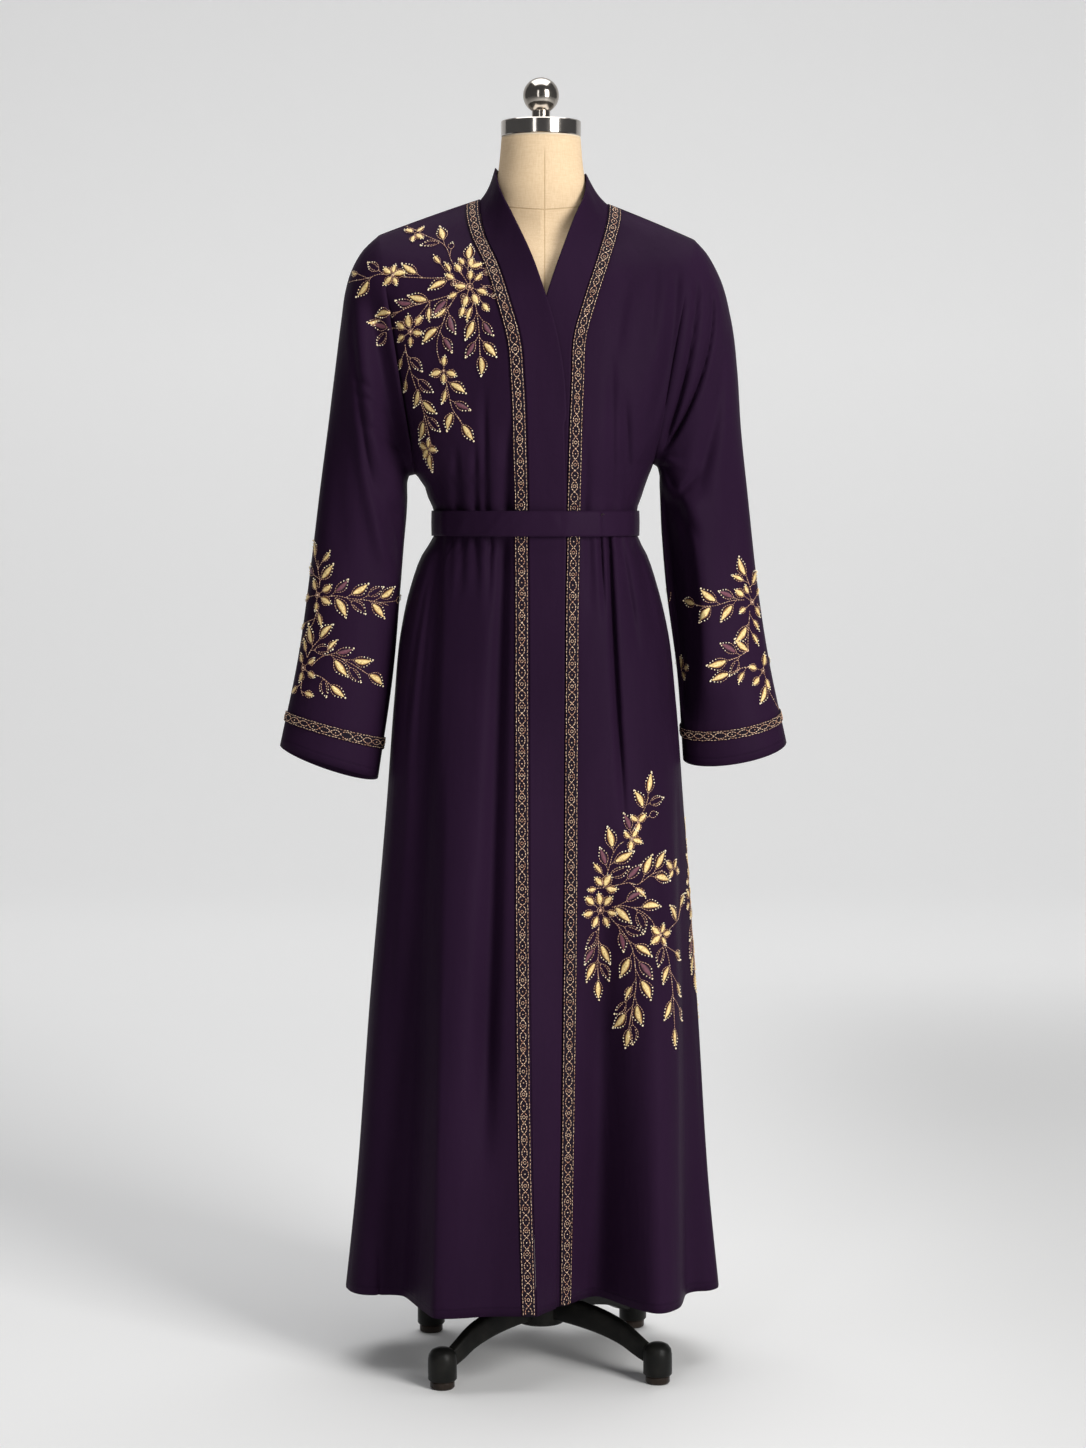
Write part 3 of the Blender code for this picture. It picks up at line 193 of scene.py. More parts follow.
class Finish:
    def __init__(self, name):
        self.material = bpy.data.materials.new(name)
        self.material.use_nodes = True
        self.tree = self.material.node_tree
        self.shader = self.tree.nodes["Principled BSDF"]

    def feed(self, socket, value):
        if isinstance(value, Value):
            self.tree.links.new(value.socket, socket)
        else:
            socket.default_value = value

    def node(self, kind, settings=None, out=0, **sockets):
        made = self.tree.nodes.new(kind)
        for key, value in (settings or {}).items():
            setattr(made, key, value)
        for key, value in sockets.items():
            number = key[1:]
            name = int(number) if key[0] == "i" and number.isdigit() else key.replace("_", " ")
            self.feed(made.inputs[name], value)
        return Value(self, made.outputs[out])

    def set(self, **sockets):
        for key, value in sockets.items():
            self.feed(self.shader.inputs[key.replace("_", " ")], value)

    def place(self):
        return self.node("ShaderNodeTexCoord", out=3)

    def onCloth(self, name="cloth"):
        return self.node("ShaderNodeUVMap", {"uv_map": name})

    def parts(self, vector):
        split = self.tree.nodes.new("ShaderNodeSeparateXYZ")
        self.feed(split.inputs[0], vector)
        return [Value(self, socket) for socket in split.outputs]

    def stretched(self, vector, scale):
        return self.node("ShaderNodeMapping", Vector=vector, Scale=scale)

    def noise(self, vector, scale, detail=2.0, rough=0.5):
        sockets = {"Vector": vector, "Scale": scale, "Detail": detail, "Roughness": rough}
        return self.node("ShaderNodeTexNoise", **sockets)

    def mixed(self, share, first, second):
        sockets = {"i0": share, "i6": first, "i7": second}
        return self.node("ShaderNodeMix", {"data_type": "RGBA"}, out=2, **sockets)

    def bump(self, height, strength, distance, under=None):
        sockets = {"Height": height, "Strength": strength, "Distance": distance}
        if under is not None:
            sockets["Normal"] = under
        return self.node("ShaderNodeBump", **sockets)


hemStitch = {"rise": 0.0105, "pitch": 0.0032}


def satinCrepe(name, colours, rough, sheen, hemLine=True):
    # colours: the cloth's two shades, and the painted shade in the groove of the hem's stitching
    cloth = Finish(name)
    at, uv = cloth.place(), cloth.onCloth()
    across, along, _ = cloth.parts(uv)
    drift = cloth.noise(cloth.stretched(at, (9, 9, 3)), 1.0, 3.0)
    grain = cloth.noise(at, 900.0, 2.0, 0.6)
    colour = cloth.mixed(drift.step(0.3, 0.7), colours[0], colours[1])
    weave = (across * 5200.0).sine() * (along * 5200.0).sine()
    surface = cloth.bump(weave * 0.25 + grain, 0.22, 0.0004)
    ripple = cloth.noise(cloth.stretched(at, (34, 34, 5)), 1.0, 2.5, 0.55)
    surface = cloth.bump(ripple, 0.25, 0.006, surface)
    if hemLine:
        stitch = (across * (2 * math.pi / hemStitch["pitch"])).sine().step(-0.6, 0.1)
        line = (1 - (along - hemStitch["rise"]).size().step(0.0002, 0.0007)) * stitch
        grooveAndShade = 1 - (along - hemStitch["rise"]).size().step(0.0004, 0.0022)
        surface = cloth.bump(line * 0.5 - grooveAndShade, 0.4, 0.0008, surface)
        # painted shade: the colour darkens towards the third plum along the hem stitching's groove, which
        # the bump also sinks
        colour = cloth.mixed(grooveAndShade * 0.18, colour, colours[2])
    cloth.set(Base_Color=colour, Roughness=rough + (grain - 0.5) * 0.16, Normal=surface)
    cloth.set(Sheen_Weight=sheen, Sheen_Roughness=0.4, Sheen_Tint=(0.55, 0.35, 0.62, 1))
    cloth.set(Specular_IOR_Level=0.014)
    return cloth.material


def thread(name, light, dark, rough, metal):
    silk = Finish(name)
    at = silk.place()
    grain = silk.noise(at, 700.0, 2.0, 0.6)
    patch = silk.noise(at, 160.0, 1.0, 0.5)
    colour = silk.mixed((grain * 0.6 + patch * 0.4).step(0.36, 0.62), dark, light)
    silk.set(Base_Color=colour, Roughness=rough + (grain - 0.5) * 0.2, Metallic=metal)
    silk.set(Normal=silk.bump(grain, 0.35, 0.0003))
    return silk.material


def satinStitch(name, light, dark, rough, metal):
    # laid threads that run slantwise over each leaf, in the leaf's own measure, with painted shade towards
    # the leaf's edges
    silk = Finish(name)
    uv = silk.onCloth()
    across, along, _ = silk.parts(uv)
    slant = along + across.size() * 0.8
    lines = (slant * (2 * math.pi / 0.0007)).sine()
    patch = silk.noise(silk.stretched(uv, (300, 900, 1)), 1.0, 2.0, 0.6)
    fleck = silk.noise(silk.place(), 420.0, 1.0)
    beside = silk.parts(silk.onCloth("share"))[0]
    # painted shade: the fill darkens towards its edges, where its padding turns away from the light
    paintedEdgeShade = (beside.size() + (patch - 0.5) * 0.8).step(0.45, 1.05)
    # random tone from patch and fleck, a faint painted stripe of light and shade along the laid threads,
    # and the painted edge shade
    shade = (patch * 0.6 + fleck * 0.4 + lines * 0.08 - paintedEdgeShade * 0.40).step(0.24, 0.56)
    silk.set(Base_Color=silk.mixed(shade, dark, light), Metallic=metal)
    silk.set(Roughness=rough + (patch - 0.5) * 0.2)
    silk.set(Normal=silk.bump(lines * 0.4 + patch, 0.45, 0.0004))
    return silk.material


def tapeCloth(name):
    tape = Finish(name)
    grain = tape.noise(tape.place(), 800.0, 2.0, 0.6)
    across, along, _ = tape.parts(tape.onCloth())
    rib = (along * (2 * math.pi / 0.0011)).sine() * (across * (2 * math.pi / 0.0011)).sine()
    colour = tape.mixed(grain.step(0.35, 0.65), (0.006, 0.0035, 0.008, 1), (0.014, 0.008, 0.017, 1))
    tape.set(Base_Color=colour, Roughness=0.62 + (grain - 0.5) * 0.1, Specular_IOR_Level=0.10)
    tape.set(Normal=tape.bump(rib * 0.5 + grain, 0.5, 0.0004))
    return tape.material


# The form's linen: a seam down the middle of the neck, one round its foot, and a painted highlight along
# its top edge
cover = {"seamX": 0.0134, "seamTop": (1.53, 1.55), "footZ": 1.4680, "footY": 0.0556, "footSlope": 0.17,
         "highlightZ": (1.5640, 1.5646)}  # fmt: skip


def linenCloth(name):
    linen = Finish(name)
    at = linen.place()
    x, y, z = linen.parts(at)
    warp = linen.noise(linen.stretched(at, (900, 900, 90)), 1.0, 2.0)
    weft = linen.noise(linen.stretched(at, (90, 90, 1300)), 1.0, 2.0)
    thick = warp * 0.5 + weft * 0.5
    patch = linen.noise(at, 14.0, 3.0)
    colour = linen.mixed(thick.step(0.38, 0.62), (0.665, 0.490, 0.310, 1), (0.735, 0.565, 0.370, 1))
    colour = linen.mixed(patch.step(0.35, 0.7) * 0.25, colour, (0.63, 0.455, 0.275, 1))
    beside = (x - cover["seamX"]).size()
    middle = (1 - beside.step(0.0003, 0.0011)) * (1 - z.step(*cover["seamTop"])) * (0 - y).step(0, 0.01)
    rise = z - cover["footZ"] - (y + cover["footY"]) * cover["footSlope"]
    base = 1 - (rise - beside * 0.04).size().step(0.0003, 0.0011)
    seamed = middle + base - middle * base
    colour = linen.mixed(seamed * 0.55, colour, (0.42, 0.27, 0.13, 1))
    # painted highlight: a pale band along the top edge, just under the cap
    colour = linen.mixed(z.step(*cover["highlightZ"]) * 0.6, colour, (0.95, 0.86, 0.70, 1))
    linen.set(Base_Color=colour, Roughness=0.78 + (thick - 0.5) * 0.2)
    linen.set(Sheen_Weight=0.03, Sheen_Roughness=0.5, Specular_IOR_Level=0.15)
    linen.set(Normal=linen.bump(thick, 0.30, 0.0006, linen.bump(0 - seamed, 0.5, 0.001)))
    return linen.material


def brushedMetal(name, colour, rough, stretch):
    metal = Finish(name)
    at = metal.place()
    hair = metal.noise(metal.stretched(at, stretch), 1.0, 2.0, 0.6)
    smear = metal.noise(at, 30.0, 2.0)
    darker = tuple(c * 0.86 for c in colour[:3]) + (1,)
    metal.set(Base_Color=metal.mixed(smear.step(0.3, 0.7), darker, colour), Metallic=1.0)
    metal.set(Roughness=rough + (hair - 0.5) * 0.10 + (smear - 0.5) * 0.06)
    metal.set(Normal=metal.bump(hair, 0.05, 0.0002))
    return metal.material


def castMetal(name, dark, light, rough):
    metal = Finish(name)
    at = metal.place()
    grain = metal.noise(at, 1100.0, 2.0, 0.6)
    worn = metal.noise(at, 40.0, 3.0)
    metal.set(Base_Color=metal.mixed(worn.step(0.4, 0.75), dark, light))
    metal.set(Roughness=rough + (worn - 0.5) * 0.15, Normal=metal.bump(grain, 0.22, 0.0003))
    metal.set(Specular_IOR_Level=0.14)
    return metal.material


makeCamera()
makeStudio()
# the third plum is painted shade for the hem stitching's groove
plum = [(0.0165, 0.0068, 0.0200, 1), (0.0205, 0.0084, 0.0245, 1), (0.006, 0.0025, 0.008, 1)]
finishes = {
    "panel": satinCrepe("aubergineCrepe", plum, 0.50, 0.006),
    "band": satinCrepe("aubergineBand", plum, 0.48, 0.006, False),
    "belt": satinCrepe("aubergineSatin", plum, 0.42, 0.01, False),
    "tape": tapeCloth("trimTape"),
    "trimThread": thread("roseGoldThread", (1.0, 0.74, 0.52, 1), (0.50, 0.22, 0.13, 1), 0.34, 0.1),
    "goldSatin": satinStitch("goldSatin", (0.98, 0.76, 0.34, 1), (0.3, 0.135, 0.035, 1), 0.33, 0.15),
    "mauveSatin": satinStitch("mauveSatin", (0.19, 0.055, 0.085, 1), (0.055, 0.016, 0.028, 1), 0.42, 0),
    "goldThread": thread("goldThread", (0.80, 0.50, 0.34, 1), (0.36, 0.18, 0.11, 1), 0.40, 0.1),
    "bead": thread("paleBead", (1.0, 0.90, 0.68, 1), (0.88, 0.68, 0.42, 1), 0.2, 0.0),
    "linen": linenCloth("linen"),
    "cap": brushedMetal("brushedNickel", (0.56, 0.52, 0.475, 1), 0.13, (60, 60, 2500)),
    "ball": brushedMetal("polishedNickel", (0.50, 0.455, 0.405, 1), 0.15, (300, 300, 300)),
    "base": castMetal("blackIron", (0.006, 0.006, 0.0056, 1), (0.012, 0.0115, 0.010, 1), 0.42),
    "glide": castMetal("darkGlide", (0.020, 0.014, 0.011, 1), (0.040, 0.030, 0.024, 1), 0.30),
}
tell("finishes made")

# The garment's sizes, in metres
garment = {
    "wall": 0.0015,
    "bandWall": 0.0020,
    "trimWall": 0.0010,
    "beltWall": 0.0020,
    "seam": 0.0003,
    "sideLap": 0.0005,  # how far fronts and backs go past each other at the sides
    "hem": 0.0960,
    "bandWidth": 0.0458,
    "trimWidth": 0.0172,
    "shoulderRise": 0.0008,
    "lap": 0.0052,
    "openY": 0.034,
    "round": 2.25,
    "neckShare": 0.42,
    "foldBlur": 0.0008,
    "cuffTrim": (0.9365, 0.9555),  # where it lies, as shares of the sleeve's length
    "underShort": 0.0015,  # how far the left band stops short of the right one's seam
}
hem, wall, seam = garment["hem"], garment["wall"], garment["seam"]

# The seam between each front and its band, from the neck point down to the hem
Edge = namedtuple("Edge", "z x y")
frontEdge = {
    right: [Edge(*row) for row in (
        (1.4855, -0.0785, 0.0100), (1.4645, -0.0775, -0.0180), (1.4320, -0.0695, -0.0480),
        (1.4000, -0.0548, -0.0790), (1.3500, -0.0378, -0.1060), (1.3000, -0.0240, -0.1205),
        (1.2500, -0.0198, -0.1260), (1.1500, -0.0162, -0.1180), (1.0880, -0.0150, -0.1020),
        (1.0540, -0.0150, -0.1020), (0.9800, -0.0143, -0.1190), (0.8600, -0.0142, -0.1300),
        (0.6000, -0.0138, -0.1395), (0.2600, -0.0102, -0.1465), (hem, -0.0056, -0.1490),
    )],
    left: [Edge(*row) for row in (
        (1.4795, 0.0860, 0.0100), (1.4605, 0.0845, -0.0180), (1.4300, 0.0775, -0.0480),
        (1.4000, 0.0685, -0.0770), (1.3500, 0.0522, -0.1050), (1.3000, 0.0388, -0.1205),
        (1.2500, 0.0366, -0.1260), (1.1500, 0.0330, -0.1180), (1.0880, 0.0316, -0.1020),
        (1.0540, 0.0314, -0.1020), (0.9800, 0.0300, -0.1190), (0.8600, 0.0292, -0.1275),
        (0.6000, 0.0275, -0.1270), (0.2600, 0.0236, -0.1165), (hem, 0.0222, -0.1090),
    )],
}  # fmt: skip

# The body: where the side seams run, and the middle of the back
Side = namedtuple("Side", "z right left back")
bodySides = [Side(*row) for row in (
    (1.4720, -0.2000, 0.2000, 0.0800), (1.4200, -0.2000, 0.2000, 0.1010),
    (1.3400, -0.2000, 0.2000, 0.1140), (1.2500, -0.1900, 0.1750, 0.1130),
    (1.1480, -0.1720, 0.1430, 0.1010), (1.1345, -0.1600, 0.1375, 0.0985),
    (1.1240, -0.1505, 0.1335, 0.0970), (1.1070, -0.1445, 0.1280, 0.0940),
    (1.0880, -0.1362, 0.1216, 0.0900), (1.0710, -0.1333, 0.1208, 0.0880),
    (1.0540, -0.1362, 0.1226, 0.0890), (1.0304, -0.1510, 0.1344, 0.0980),
    (0.9920, -0.1651, 0.1472, 0.1120), (0.9344, -0.1779, 0.1610, 0.1270),
    (0.8448, -0.1866, 0.1712, 0.1380), (0.7168, -0.1958, 0.1805, 0.1460),
    (0.4608, -0.2176, 0.1984, 0.1560), (0.2048, -0.2368, 0.2150, 0.1660),
    (hem, -0.2483, 0.2260, 0.1700),
)]  # fmt: skip

# Sections of each sleeve, from armhole to cuff: the chord's ends in the front view, how far the
# cloth stands before and behind it, and how much the section tips forward
Section = namedtuple("Section", "along overX overZ underX underZ y front back tipFront tipBack")
sleeveSections = {
    right: [Section(*row) for row in (
        (0.00, -0.2070, 1.4395, -0.1600, 1.1345, 0.010, 0.092, 0.092, 0.00, 0.00),
        (0.045, -0.2280, 1.4190, -0.1650, 1.1335, 0.010, 0.088, 0.089, 0.00, 0.00),
        (0.09, -0.2415, 1.3952, -0.1695, 1.1320, 0.010, 0.084, 0.086, 0.00, 0.00),
        (0.14, -0.2497, 1.3680, -0.1713, 1.1275, 0.010, 0.079, 0.082, 0.00, 0.00),
        (0.20, -0.2545, 1.3350, -0.1725, 1.1210, 0.010, 0.074, 0.078, 0.00, 0.00),
        (0.32, -0.2630, 1.2680, -0.1725, 1.1050, 0.009, 0.066, 0.070, 0.00, 0.00),
        (0.44, -0.2725, 1.1920, -0.1735, 1.0800, 0.008, 0.059, 0.062, 0.00, 0.00),
        (0.56, -0.2830, 1.1100, -0.1765, 1.0450, 0.006, 0.054, 0.056, 0.00, 0.00),
        (0.68, -0.2945, 1.0130, -0.1815, 0.9800, 0.004, 0.051, 0.052, 0.00, -0.04),
        (0.84, -0.3100, 0.9000, -0.1905, 0.8750, 0.000, 0.050, 0.050, 0.00, -0.16),
        (1.00, -0.3330, 0.7870, -0.2090, 0.7470, -0.004, 0.048, 0.048, 0.00, -0.35),
    )],
    left: [Section(*row) for row in (
        (0.00, 0.1958, 1.4336, 0.1430, 1.1480, 0.010, 0.090, 0.092, 0.00, 0.00),
        (0.045, 0.2125, 1.4145, 0.1462, 1.1460, 0.010, 0.087, 0.089, 0.00, 0.00),
        (0.09, 0.2260, 1.3900, 0.1490, 1.1440, 0.010, 0.083, 0.086, 0.00, 0.00),
        (0.20, 0.2430, 1.3300, 0.1520, 1.1350, 0.010, 0.074, 0.078, 0.00, 0.00),
        (0.32, 0.2510, 1.2650, 0.1530, 1.1230, 0.011, 0.066, 0.070, 0.00, 0.00),
        (0.44, 0.2560, 1.1900, 0.1540, 1.0980, 0.013, 0.060, 0.062, 0.00, 0.00),
        (0.56, 0.2650, 1.1050, 0.1560, 1.0550, 0.016, 0.056, 0.056, 0.00, 0.00),
        (0.68, 0.2760, 1.0050, 0.1620, 0.9850, 0.020, 0.053, 0.052, 0.06, 0.06),
        (0.84, 0.2930, 0.8930, 0.1760, 0.8780, 0.022, 0.052, 0.050, 0.14, 0.14),
        (1.00, 0.3150, 0.7900, 0.1835, 0.7680, 0.022, 0.052, 0.048, 0.26, 0.26),
    )],
}  # fmt: skip

# The back half of the neck seam with the band's free edge, from the middle of the back
Stand = namedtuple("Stand", "along seamX seamY seamZ freeX freeY freeZ")
backNeck = {
    right: [Stand(*row) for row in (
        (0.00, 0.0000, 0.0800, 1.4720, 0.0000, 0.0665, 1.5140),
        (0.35, -0.0420, 0.0690, 1.4755, -0.0345, 0.0560, 1.5175),
        (0.70, -0.0705, 0.0400, 1.4815, -0.0535, 0.0285, 1.5235),
        (1.00, -0.0785, 0.0100, 1.4855, -0.0590, 0.0015, 1.5270),
    )],
    left: [Stand(*row) for row in (
        (0.00, 0.0000, 0.0800, 1.4720, 0.0000, 0.0665, 1.5140),
        (0.35, 0.0440, 0.0690, 1.4740, 0.0345, 0.0560, 1.5160),
        (0.70, 0.0745, 0.0400, 1.4775, 0.0524, 0.0285, 1.5185),
        (1.00, 0.0860, 0.0100, 1.4795, 0.0579, 0.0015, 1.5195),
    )],
}  # fmt: skip

# The band's free edge from the neck point down to where the two fronts lap
Free = namedtuple("Free", "seamZ x y z")
freeEdge = {
    right: [Free(*row) for row in (
        (1.4855, -0.0590, 0.0015, 1.5270), (1.4645, -0.0540, -0.0320, 1.5010),
        (1.4320, -0.0350, -0.0630, 1.4600), (1.4000, -0.0152, -0.0915, 1.4170),
        (1.3500, 0.0045, -0.1145, 1.3620), (1.3000, 0.0195, -0.1262, 1.3110),
        (1.2500, 0.0290, -0.1317, 1.2545), (1.2000, 0.0322, -0.1297, 1.2010),
    )],
    left: [Free(*row) for row in (
        (1.4795, 0.0579, 0.0015, 1.5195), (1.4605, 0.0565, -0.0310, 1.4945),
        (1.4300, 0.0420, -0.0610, 1.4580), (1.4000, 0.0270, -0.0870, 1.4170),
        (1.3500, 0.0085, -0.1090, 1.3620), (1.3000, -0.0055, -0.1225, 1.3080),
        (1.2500, -0.0092, -0.1277, 1.2500), (1.2000, -0.0110, -0.1255, 1.2000),
    )],
}  # fmt: skip

# Folds: soft ridges (depth above 0) or troughs (below 0). A line goes through three places in the
# front or back view; widths are to the wearer's right of the line and to the left of it. Places,
# widths and depths are in millimetres, and 96 is the hem's height
Fold = namedtuple("Fold", "face x1 z1 x2 x3 z3 right left top low spread fadeTop fadeLow")
folds = [Fold(face, *(size / 1000 for size in row[:9]), *row[9:]) for face, *row in (
    # skirt, right front
    (front, -45, 1070, -58, -73.5, 235, 10, 7, -13, -22, 2, 0.03, 0.25),
    (front, -62.5, 1070, -64, -66, 930, 4.5, 4, -8, -2, 1.5, 0.1, 0.6),
    (front, -83, 1070, -80, -77, 960, 4.5, 4, -8, -2, 1.5, 0.1, 0.6),
    (front, -97.5, 1070, -98.5, -100, 965, 4.5, 4, -9, -2, 1.5, 0.1, 0.6),
    (front, -111, 1070, -113, -116, 960, 4, 3.5, -8, -2, 1.4, 0.1, 0.6),
    (front, -123.5, 1070, -152.6, -175, 96, 10, 4.5, -11, -25, 4.5, 0.03, 0),
    (front, -153, 620, -164, -177, 96, 40, 16, 0, -36, 1.4, 0.2, 0),
    (front, -129, 1050, -150, -159, 700, 4, 3.5, -4, -4, 1.8, 0.2, 0.45),
    (front, -134.5, 1040, -164, -175, 700, 4, 3.5, -4, -4, 1.8, 0.2, 0.45),
    (front, -170, 800, -185, -200, 350, 7, 6, -3, -4, 1.6, 0.3, 0.4),
    (front, -110, 900, -120, -129, 96, 14, 55, 3, 30, 1, 0.3, 0),
    (front, -204, 165, -204.5, -205, 96, 2.5, 2, -2.5, -3.5, 1, 0.5, 0),
    # skirt, left front
    (front, 74.5, 1070, 77, 81, 930, 3.5, 2.5, -11, -5, 1.2, 0.08, 0.6),
    (front, 85, 1070, 94, 107, 660, 4, 3, -15, -11, 1.5, 0.04, 0.45),
    (front, 98.5, 1065, 112, 125, 880, 6, 4, -10, -4, 1.6, 0.1, 0.5),
    (front, 113, 1060, 137, 150, 880, 6, 5, -9, -4, 1.6, 0.1, 0.5),
    (front, 60, 1070, 61, 62, 930, 6, 5, -5, -2, 1.5, 0.1, 0.6),
    (front, 72, 760, 74, 68, 96, 20, 20, 0, -52, 1.5, 0.3, 0),
    (front, 140, 860, 148, 150, 96, 34, 34, 0, 50, 1, 0.35, 0),
    (front, 170, 800, 179, 183, 96, 4.5, 22, -6, -47, 1.4, 0.2, 0),
    # bodice, over the belt and down from the shoulder
    (front, -40, 1215, -41, -42, 1072, 9, 5, -3, -11, 1, 0.4, 0.06),
    (front, -70, 1260, -69, -68, 1072, 6, 4, -3, -7, 1, 0.4, 0.06),
    (front, -82, 1190, -81.5, -81, 1072, 5, 4, -2, -9, 1, 0.4, 0.06),
    (front, -106, 1180, -104, -102, 1072, 6, 4, -2, -9, 1, 0.4, 0.06),
    (front, -127, 1150, -126, -125, 1072, 6, 4, -1, -8, 1, 0.4, 0.06),
    (front, 56, 1200, 55, 54, 1072, 8, 7, -1, -5, 1, 0.4, 0.06),
    (front, 88, 1300, 89, 90, 1072, 8, 6, -3, -7, 1, 0.35, 0.06),
    (front, 103, 1250, 108, 113, 1072, 9, 6, -6, -9, 1, 0.35, 0.06),
    (front, 115, 1400, 100, 92, 1260, 10, 8, -2, -3, 1, 0.35, 0.4),
    (front, 145, 1405, 140, 133, 1270, 9, 8, -3, -3, 1, 0.35, 0.4),
    # shoulder to underarm and sleeve, right
    (front, -220, 1385, -197, -177, 1125, 13, 22, -10, -36, 1, 0.2, 0.24),
    (front, -236, 1360, -222, -198, 1110, 14, 10, 4, 10, 1, 0.25, 0.25),
    (front, -240, 1370, -229, -208, 1080, 4.5, 4.5, -3, -6, 1, 0.2, 0.25),
    (front, -233, 1262, -220, -196, 1228, 5, 4, -4, -3, 1, 0.3, 0.3),
    (front, -229, 1240, -212, -188, 1205, 5, 4, -4, -3, 1, 0.3, 0.3),
    (front, -218, 1200, -200, -178, 1160, 6, 5, -5, -4, 1, 0.3, 0.3),
    (front, -236, 1250, -218, -186, 985, 10, 7, 4, 10, 1, 0.25, 0.25),
    (front, -190, 1110, -183, -174, 1000, 8, 12, -10, -12, 1, 0.25, 0.35),
    (front, -182, 885, -192, -208, 812, 4, 6, -3, -5, 1, 0.25, 0.2),
    (front, -262, 1250, -258, -252, 1000, 14, 14, -3, -4, 1, 0.3, 0.3),
    # shoulder to underarm and sleeve, left
    (front, 171, 1400, 160, 128, 1165, 10, 7, -6, -9, 1, 0.15, 0.3),
    (front, 197.5, 1395, 186, 153, 1160, 5, 3, -8, -14, 1, 0.15, 0.15),
    (front, 215, 1380, 206, 156, 1160, 5, 3, -8, -15, 1, 0.15, 0.12),
    (front, 234, 1330, 220, 192, 1090, 12, 10, -5, -13, 1, 0.25, 0.3),
    (front, 153, 1158, 165, 180, 1142, 5, 5, 6, 4, 1, 0.3, 0.4),
    (front, 156, 1150, 164, 174, 1112, 4, 4, -8, -6, 1, 0.2, 0.3),
    (front, 201, 1140, 189, 176, 1108, 4, 5, -5, -7, 1, 0.3, 0.2),
    (front, 169, 1105, 185, 203, 1044, 9, 7, -10, -7, 1, 0.15, 0.4),
    (front, 150, 1130, 170, 176, 800, 12, 15, -20, -36, 1.3, 0.12, 0.15),
    (front, 180, 1118, 205, 202, 830, 7, 22, 10, 14, 1, 0.1, 0.25),
    (front, 248, 1200, 242, 240, 980, 12, 12, -3, -4, 1, 0.3, 0.3),
    # back: gathers over and under the belt
    (back, -30, 1220, -28, -26, 1072, 9, 9, -2, -7, 1, 0.45, 0.08),
    (back, 34, 1240, 31, 28, 1072, 9, 9, -2, -8, 1, 0.45, 0.08),
    (back, -68, 1250, -62, -58, 1072, 9, 9, -2, -7, 1, 0.45, 0.08),
    (back, 70, 1220, 64, 60, 1072, 9, 9, -2, -7, 1, 0.45, 0.08),
    (back, -110, 1200, -100, -92, 1072, 9, 9, -2, -6, 1, 0.45, 0.08),
    (back, 104, 1200, 92, 86, 1072, 9, 9, -2, -6, 1, 0.45, 0.08),
    (back, -12, 1070, -14, -16, 800, 8, 8, -7, -3, 1.6, 0.08, 0.6),
    (back, 16, 1070, 22, 34, 96, 10, 10, -7, -36, 2.6, 0.03, 0),
    (back, 46, 1070, 50, 54, 850, 8, 8, -6, -3, 1.6, 0.08, 0.6),
    (back, -44, 1070, -58, -76, 96, 10, 10, -7, -40, 2.8, 0.03, 0),
    (back, -74, 1070, -82, -86, 840, 8, 8, -6, -3, 1.6, 0.08, 0.6),
    (back, 74, 1070, 100, 124, 96, 10, 10, -7, -36, 2.6, 0.03, 0),
    (back, -102, 1070, -132, -166, 96, 10, 10, -6, -34, 2.4, 0.03, 0),
    (back, -20, 700, -20, -22, 96, 36, 36, 0, 12, 1, 0.2, 0),
    (back, 78, 700, 80, 80, 96, 34, 34, 0, 16, 1, 0.2, 0),
    (back, -120, 700, -120, -122, 96, 34, 34, 0, 18, 1, 0.2, 0),
    (back, 165, 760, 168, 170, 96, 26, 26, 0, 18, 1, 0.2, 0),
    # back: from the shoulders down to the underarms
    (back, -215, 1400, -198, -168, 1130, 14, 18, -6, -18, 1, 0.25, 0.15),
    (back, 205, 1400, 186, 150, 1150, 18, 14, -6, -18, 1, 0.25, 0.15),
    (back, -180, 1400, -165, -130, 1150, 10, 10, -5, -7, 1, 0.25, 0.35),
    (back, 172, 1400, 156, 122, 1150, 10, 10, -5, -7, 1, 0.25, 0.35),
    (back, -250, 1280, -235, -200, 1010, 14, 14, -6, -9, 1, 0.25, 0.35),
    (back, 238, 1280, 222, 188, 1010, 14, 14, -6, -9, 1, 0.25, 0.35),
)]  # fmt: skip

# How finely the cloth is drawn
fine = {
    "dense": 420, "armhole": 100, "rowStep": 0.0125, "front": 160, "neck": 24, "back": 60, "rings": 76,
}  # fmt: skip


def through(rows, key, column, where):
    # the smooth monotone curve through one column of a table
    keys = np.array([getattr(row, key) for row in rows], float)
    values = np.array([getattr(row, column) for row in rows], float)
    if keys[0] > keys[-1]:
        keys, values = keys[::-1], values[::-1]
    step = np.diff(keys)
    rise = np.diff(values) / step
    inner = np.where(
        rise[:-1] * rise[1:] > 0,
        (rise[:-1] * step[1:] + rise[1:] * step[:-1]) / (step[:-1] + step[1:]),
        0.0,
    )
    cap = 3 * np.minimum(abs(rise[:-1]), abs(rise[1:]))
    slope = np.concatenate([rise[:1], np.clip(inner, -cap, cap), rise[-1:]])
    where = np.clip(where, keys[0], keys[-1])
    i = np.clip(np.searchsorted(keys, where, side="right") - 1, 0, len(step) - 1)
    t = (where - keys[i]) / step[i]
    return (
        values[i] * (1 + 2 * t) * (1 - t) ** 2
        + values[i + 1] * t * t * (3 - 2 * t)
        + slope[i] * step[i] * t * (1 - t) ** 2
        - slope[i + 1] * step[i] * t * t * (1 - t)
    )


def smoothStep(low, high, x):
    t = np.clip((x - low) / (high - low), 0, 1)
    return t * t * (3 - 2 * t)


